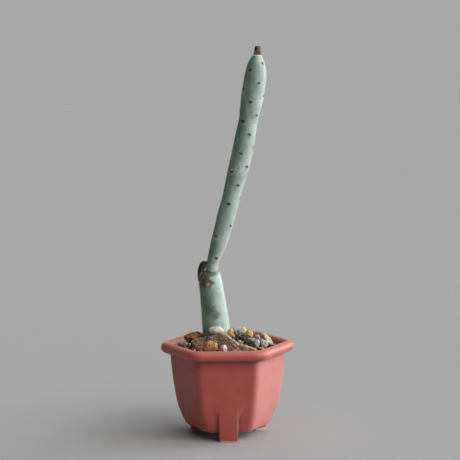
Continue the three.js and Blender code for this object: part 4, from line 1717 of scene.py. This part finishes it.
@dataclass
class PottingMix:
    """The mound of potting mix, with the grit that fills the gaps between the stones."""

    edge_height: float = 58.6
    mound_rise: float = 9.4
    mound_spread: float = 22.0
    mound_centre: tuple[float, float] = (-5.0, 2.0)
    wall_gap: float = 0.35
    wall_heights: tuple[float, ...] = (11, 15.6, 22.5, 35.7, 45, 52, 57.2)
    # The foot of the mix, as reach and height: it is cupped over the drain net, and round there.
    foot: tuple[tuple[float, float], ...] = ((0.0, 11.1), (8.8, 11.1), (8.8, 9.8), (20.0, 9.9))
    round_rows: int = 3
    corner: float = 3.5
    rings: int = 60
    columns: int = 144
    # The grit: its colours with their shares, and its batches from coarse to fine.
    seed: int = 4711
    reach: float = 31.7
    grit_corner: float = 4.0
    colours: tuple[tuple[Soil, float], ...] = (
        (Soil("dark_bark_crumbs", "#1C130E", "#3A281E", "#604834"), 0.3),
        (Soil("brown_clay_crumbs", "#4A3424", "#7A5A3C", "#A58259"), 0.36),
        (Soil("tan_grit", "#8A704D", "#B4976A", "#D8C49C", 0.75), 0.22),
        (Soil("pale_pumice_grit", "#A89F92", "#D2CBBF", "#F1ECE3", 0.7), 0.12),
    )
    sieves: tuple[Sieve, ...] = (
        Sieve(420, 1.7, 3.0, 0.0), Sieve(1900, 0.8, 1.6, 0.01), Sieve(2600, 0.35, 0.8, 0.06),
    )
    templates: int = 10
    knocks: Span = (0.72, 1.12)
    breadths: Span = (0.65, 1.0)
    thicknesses: Span = (0.55, 0.9)
    # The most that a grain is turned, in radians.
    most_turn: float = 6.28
    # Grit is dropped from above, and stays on a stone only where that is low and flat enough.
    drop_height: float = 80.0
    too_high: float = 69.0
    too_steep: float = 0.6
    lift_on_stone: float = 0.12
    lift_on_mix: float = 0.16

    def height(self, x: float, y: float) -> float:
        """Reads the mound, with the low waves that a hand leaves.

        Args:
            x: Distance to the viewer's right of the pot's axis.
            y: Distance behind it.

        Returns:
            The height of the mix.
        """
        away = math.hypot(x - self.mound_centre[0], y - self.mound_centre[1]) / self.mound_spread
        waves = 0.35 * math.sin(0.9 * x + 0.4 * y) + 0.3 * math.cos(0.7 * y - 0.5 * x)
        return self.edge_height + self.mound_rise * math.exp(-(away**2)) + waves

    def bed(self) -> BMesh:
        """Builds the body of the mix, from the pot's floor to its uneven top.

        Returns:
            The closed body.
        """
        inside = ClayPot().inside
        rows = [*self.foot, *((inside.at(h) - self.wall_gap, h) for h in self.wall_heights)]
        edge, level = rows[-1][0], len(rows)
        rows += [(edge * (1 - i / self.rings), None) for i in range(self.rings + 1)]

        def place(row: int, column: int) -> Vector:
            """Places a point of the mix.

            Args:
                row: The point's row, from the middle of the floor to the middle of the top.
                column: Its column around the mix.

            Returns:
                Its place.
            """
            reach, height = rows[row]
            azimuth = 2 * math.pi * column / self.columns
            # The six-sided edge turns round towards the middle of the top.
            corner = self.corner + (8 * max(1 - reach / edge, 0.0) if row >= level else 0.0)
            corner = reach if row < self.round_rows else min(corner, reach)
            radius = hexagon_radius(face_angle(azimuth), reach, corner)
            x, y = radius * math.cos(azimuth), radius * math.sin(azimuth)
            if height is None:
                height = self.height(x, y) + 0.45 * ragged(Vector((x, y, 0)), 1.6, 0.7, 4) - 0.25
            return Vector((x, y, height))

        return rolled_sheet(len(rows), self.columns, place)

    def ground(self, bodies: Sequence[bpy.types.Object]) -> BVHTree:
        """Collects all that grit can lie on.

        Args:
            bodies: The pieces.

        Returns:
            One search tree in millimetres.
        """
        points, faces = [], []
        for body in bodies:
            start = len(points)
            points += [vert.co / MILLIMETRE for vert in body.data.vertices]
            faces += [[start + i for i in face.vertices] for face in body.data.polygons]
        return BVHTree.FromPolygons(points, faces)

    def grains(self, rng: random.Random) -> list[bpy.types.Mesh]:
        """Makes a few angular grains of one millimetre, each a knocked-about icosphere.

        Args:
            rng: Where the knocks come from.

        Returns:
            The grains.
        """
        made = []
        for _ in range(self.templates):
            bm = bmesh.new()
            bmesh.ops.create_icosphere(bm, subdivisions=1, radius=0.5)
            for vert in bm.verts:
                vert.co *= rng.uniform(*self.knocks)
            flatness = (1, rng.uniform(*self.breadths), rng.uniform(*self.thicknesses))
            bmesh.ops.scale(bm, vec=flatness, verts=bm.verts)
            made.append(new_mesh("grain", bm))
        return made

    def grit(self, bed: bpy.types.Object, others: Sequence[bpy.types.Object]) -> None:
        """Strews grit over the mix, sparsely over the stones too, and fuses it by colour.

        Args:
            bed: The mix.
            others: The stones and the stems.
        """
        rng = random.Random(self.seed)
        soil, stones = self.ground([bed]), self.ground(others)
        kinds, shares = zip(*self.colours, strict=True)
        heaps = {kind.name: bmesh.new() for kind in kinds}
        templates = self.grains(rng)
        for sieve in [sieve for sieve in self.sieves for _ in range(sieve.count)]:
            azimuth = rng.uniform(0, 2 * math.pi)
            limit = hexagon_radius(face_angle(azimuth), self.reach, self.grit_corner)
            radius = limit * math.sqrt(rng.random())
            size = rng.uniform(sieve.small, sieve.large)
            if radius > limit - size / 2:
                continue
            kind = rng.choices(kinds, shares)[0]
            angle, axis = rng.uniform(0, self.most_turn), Vector([rng.gauss(0, 1) for _ in range(3)])
            template = rng.choice(templates)
            chance = rng.random()
            start = Vector((radius * math.cos(azimuth), radius * math.sin(azimuth), self.drop_height))
            low = soil.ray_cast(start, -UP)[0]
            if low is None:
                continue
            top, slope = stones.ray_cast(start, -UP)[:2]
            on_stone = top is not None and top.z > low.z
            if on_stone and (chance > sieve.on_stones or slope.z < self.too_steep or top.z > self.too_high):
                continue
            start.z = top.z + size * self.lift_on_stone if on_stone else low.z + size * self.lift_on_mix
            matrix = Matrix.Translation(start) @ Matrix.Rotation(angle, 4, axis) @ Matrix.Scale(size, 4)
            template.transform(matrix)
            heaps[kind.name].from_mesh(template)
            template.transform(matrix.inverted())
        for kind in kinds:
            finish_piece(kind.name, heaps[kind.name], kind.material(), "potting_mix", "potting_mix")

    def build(self, others: Sequence[bpy.types.Object]) -> None:
        """Builds and dresses the mix and its grit.

        Args:
            others: The stones and the stems, on which a little grit lies.
        """
        finish = Soil("damp_potting_mix", "#1A120D", "#3A2A1E", "#664C36", 0.9).material()
        bed = finish_piece("bed_of_mix", self.bed(), finish, "potting_mix", "potting_mix")
        self.grit(bed, others)


@dataclass(frozen=True)
class SoftLight:
    """A wide, distant, even light, like a window or a large white board.

    Its azimuth is measured from the viewer's side, positive to the right. All its angles are in degrees.
    """

    name: str
    azimuth: float
    elevation: float
    spread: float
    strength: float
    colour: str = "#FFFFFF"


@dataclass
class Studio:
    """The camera at the photo's angle, a pale floor and soft light, most of it from the right."""

    azimuth: float = -0.149
    camera_height: float = 224.405
    distance: float = 871.287
    pitch: float = 5.615
    pan: float = 0.184
    roll: float = -0.73
    focal_length: float = 102.0
    sensor: float = 36.0
    # The nearest distance that the camera sees and the floor's radius are in metres.
    nearest: float = 0.01
    floor_radius: float = 300.0
    floor_sides: int = 96
    floor_roughness: float = 0.9
    floor_colour: str = "#A5A4A3"
    backdrop_colour: str = "#A8A8A8"
    ambient_colour: str = "#D5D6D8"
    ambient: float = 0.04
    lights: tuple[SoftLight, ...] = (
        SoftLight("window", 84, 21, 50, 2.2, "#F7FAFF"),
        SoftLight("window_behind", 118, 9, 40, 2.75, "#F7FAFF"),
        SoftLight("board_in_front", 43, 33, 50, 1.6),
        SoftLight("ceiling", 45, 78, 80, 0.95),
        SoftLight("board_behind", 176, 25, 60, 0.5),
    )

    def camera(self) -> None:
        """Places the camera."""
        a, p, q, r = (math.radians(v) for v in (self.azimuth, self.pitch, self.pan, self.roll))
        ahead, right = Vector((-math.sin(a), math.cos(a), 0)), Vector((math.cos(a), math.sin(a), 0))
        spot = ahead * -self.distance + UP * self.camera_height
        ahead, right = ahead * math.cos(q) + right * math.sin(q), right * math.cos(q) - ahead * math.sin(q)
        view, lift = ahead * math.cos(p) - UP * math.sin(p), UP * math.cos(p) + ahead * math.sin(p)
        side, head = right * math.cos(r) + lift * math.sin(r), lift * math.cos(r) - right * math.sin(r)
        data = bpy.data.cameras.new("camera")
        data.lens = self.focal_length
        data.sensor_width = self.sensor
        data.sensor_fit = "HORIZONTAL"
        data.clip_start = self.nearest
        data.clip_end = 2 * self.floor_radius
        camera = put_in_scene("camera", data)
        turn = Matrix((side, head, -view)).transposed().to_4x4()
        camera.matrix_world = Matrix.Translation(spot * MILLIMETRE) @ turn
        bpy.context.scene.camera = camera

    def shine(self, light: SoftLight) -> None:
        """Sets up one of the lights.

        Args:
            light: The light.
        """
        data = bpy.data.lights.new(light.name, "SUN")
        data.energy = light.strength
        data.angle = math.radians(light.spread)
        data.color = linear(light.colour)[:3]
        a, e = math.radians(light.azimuth), math.radians(light.elevation)
        towards = Vector((math.sin(a) * math.cos(e), -math.cos(a) * math.cos(e), math.sin(e)))
        put_in_scene(light.name, data).rotation_euler = towards.to_track_quat("Z", "Y").to_euler()

    def floor(self) -> None:
        """Lays a plain pale floor of matt painted board as far as the horizon."""
        bm = bmesh.new()
        bmesh.ops.create_circle(bm, cap_ends=True, segments=self.floor_sides, radius=self.floor_radius)
        floor = put_in_scene("floor", new_mesh("floor", bm))
        paint = Pattern("matt_painted_board").dress(
            Base_Color=self.floor_colour, Roughness=self.floor_roughness, Specular_IOR_Level=0.0
        )
        floor.data.materials.append(paint)

    def backdrop(self) -> None:
        """Gives a weak even ambient light, and a plain backdrop as pale as the lit floor."""
        world = bpy.data.worlds.new("studio")
        world.use_nodes = True
        tree = world.node_tree
        ambient = tree.nodes["Background"]
        feed(tree, ambient.inputs["Color"], self.ambient_colour)
        feed(tree, ambient.inputs["Strength"], self.ambient)
        seen = shader(tree, "ShaderNodeBackground", {"Color": self.backdrop_colour})
        direct = shader(tree, "ShaderNodeLightPath").outputs["Is Camera Ray"]
        both = shader(tree, "ShaderNodeMixShader", {0: direct, 1: ambient.outputs[0], 2: seen.outputs[0]})
        feed(tree, tree.nodes["World Output"].inputs["Surface"], both.outputs[0])
        bpy.context.scene.world = world

    def build(self) -> None:
        """Sets up the camera, the floor, the backdrop and the lights."""
        bpy.context.scene.view_settings.view_transform = "Standard"
        self.camera()
        self.floor()
        self.backdrop()
        for light in self.lights:
            self.shine(light)


def main() -> None:
    """Builds the studio and the part, and reports each piece."""
    logging.basicConfig(level=logging.INFO, format="%(name)s: %(message)s")
    Studio().build()
    ClayPot().build()
    stems = Euphorbia().build()
    stones = TopDressing().build()
    PottingMix().build([stems, *stones])


if __name__ == "__main__":
    main()
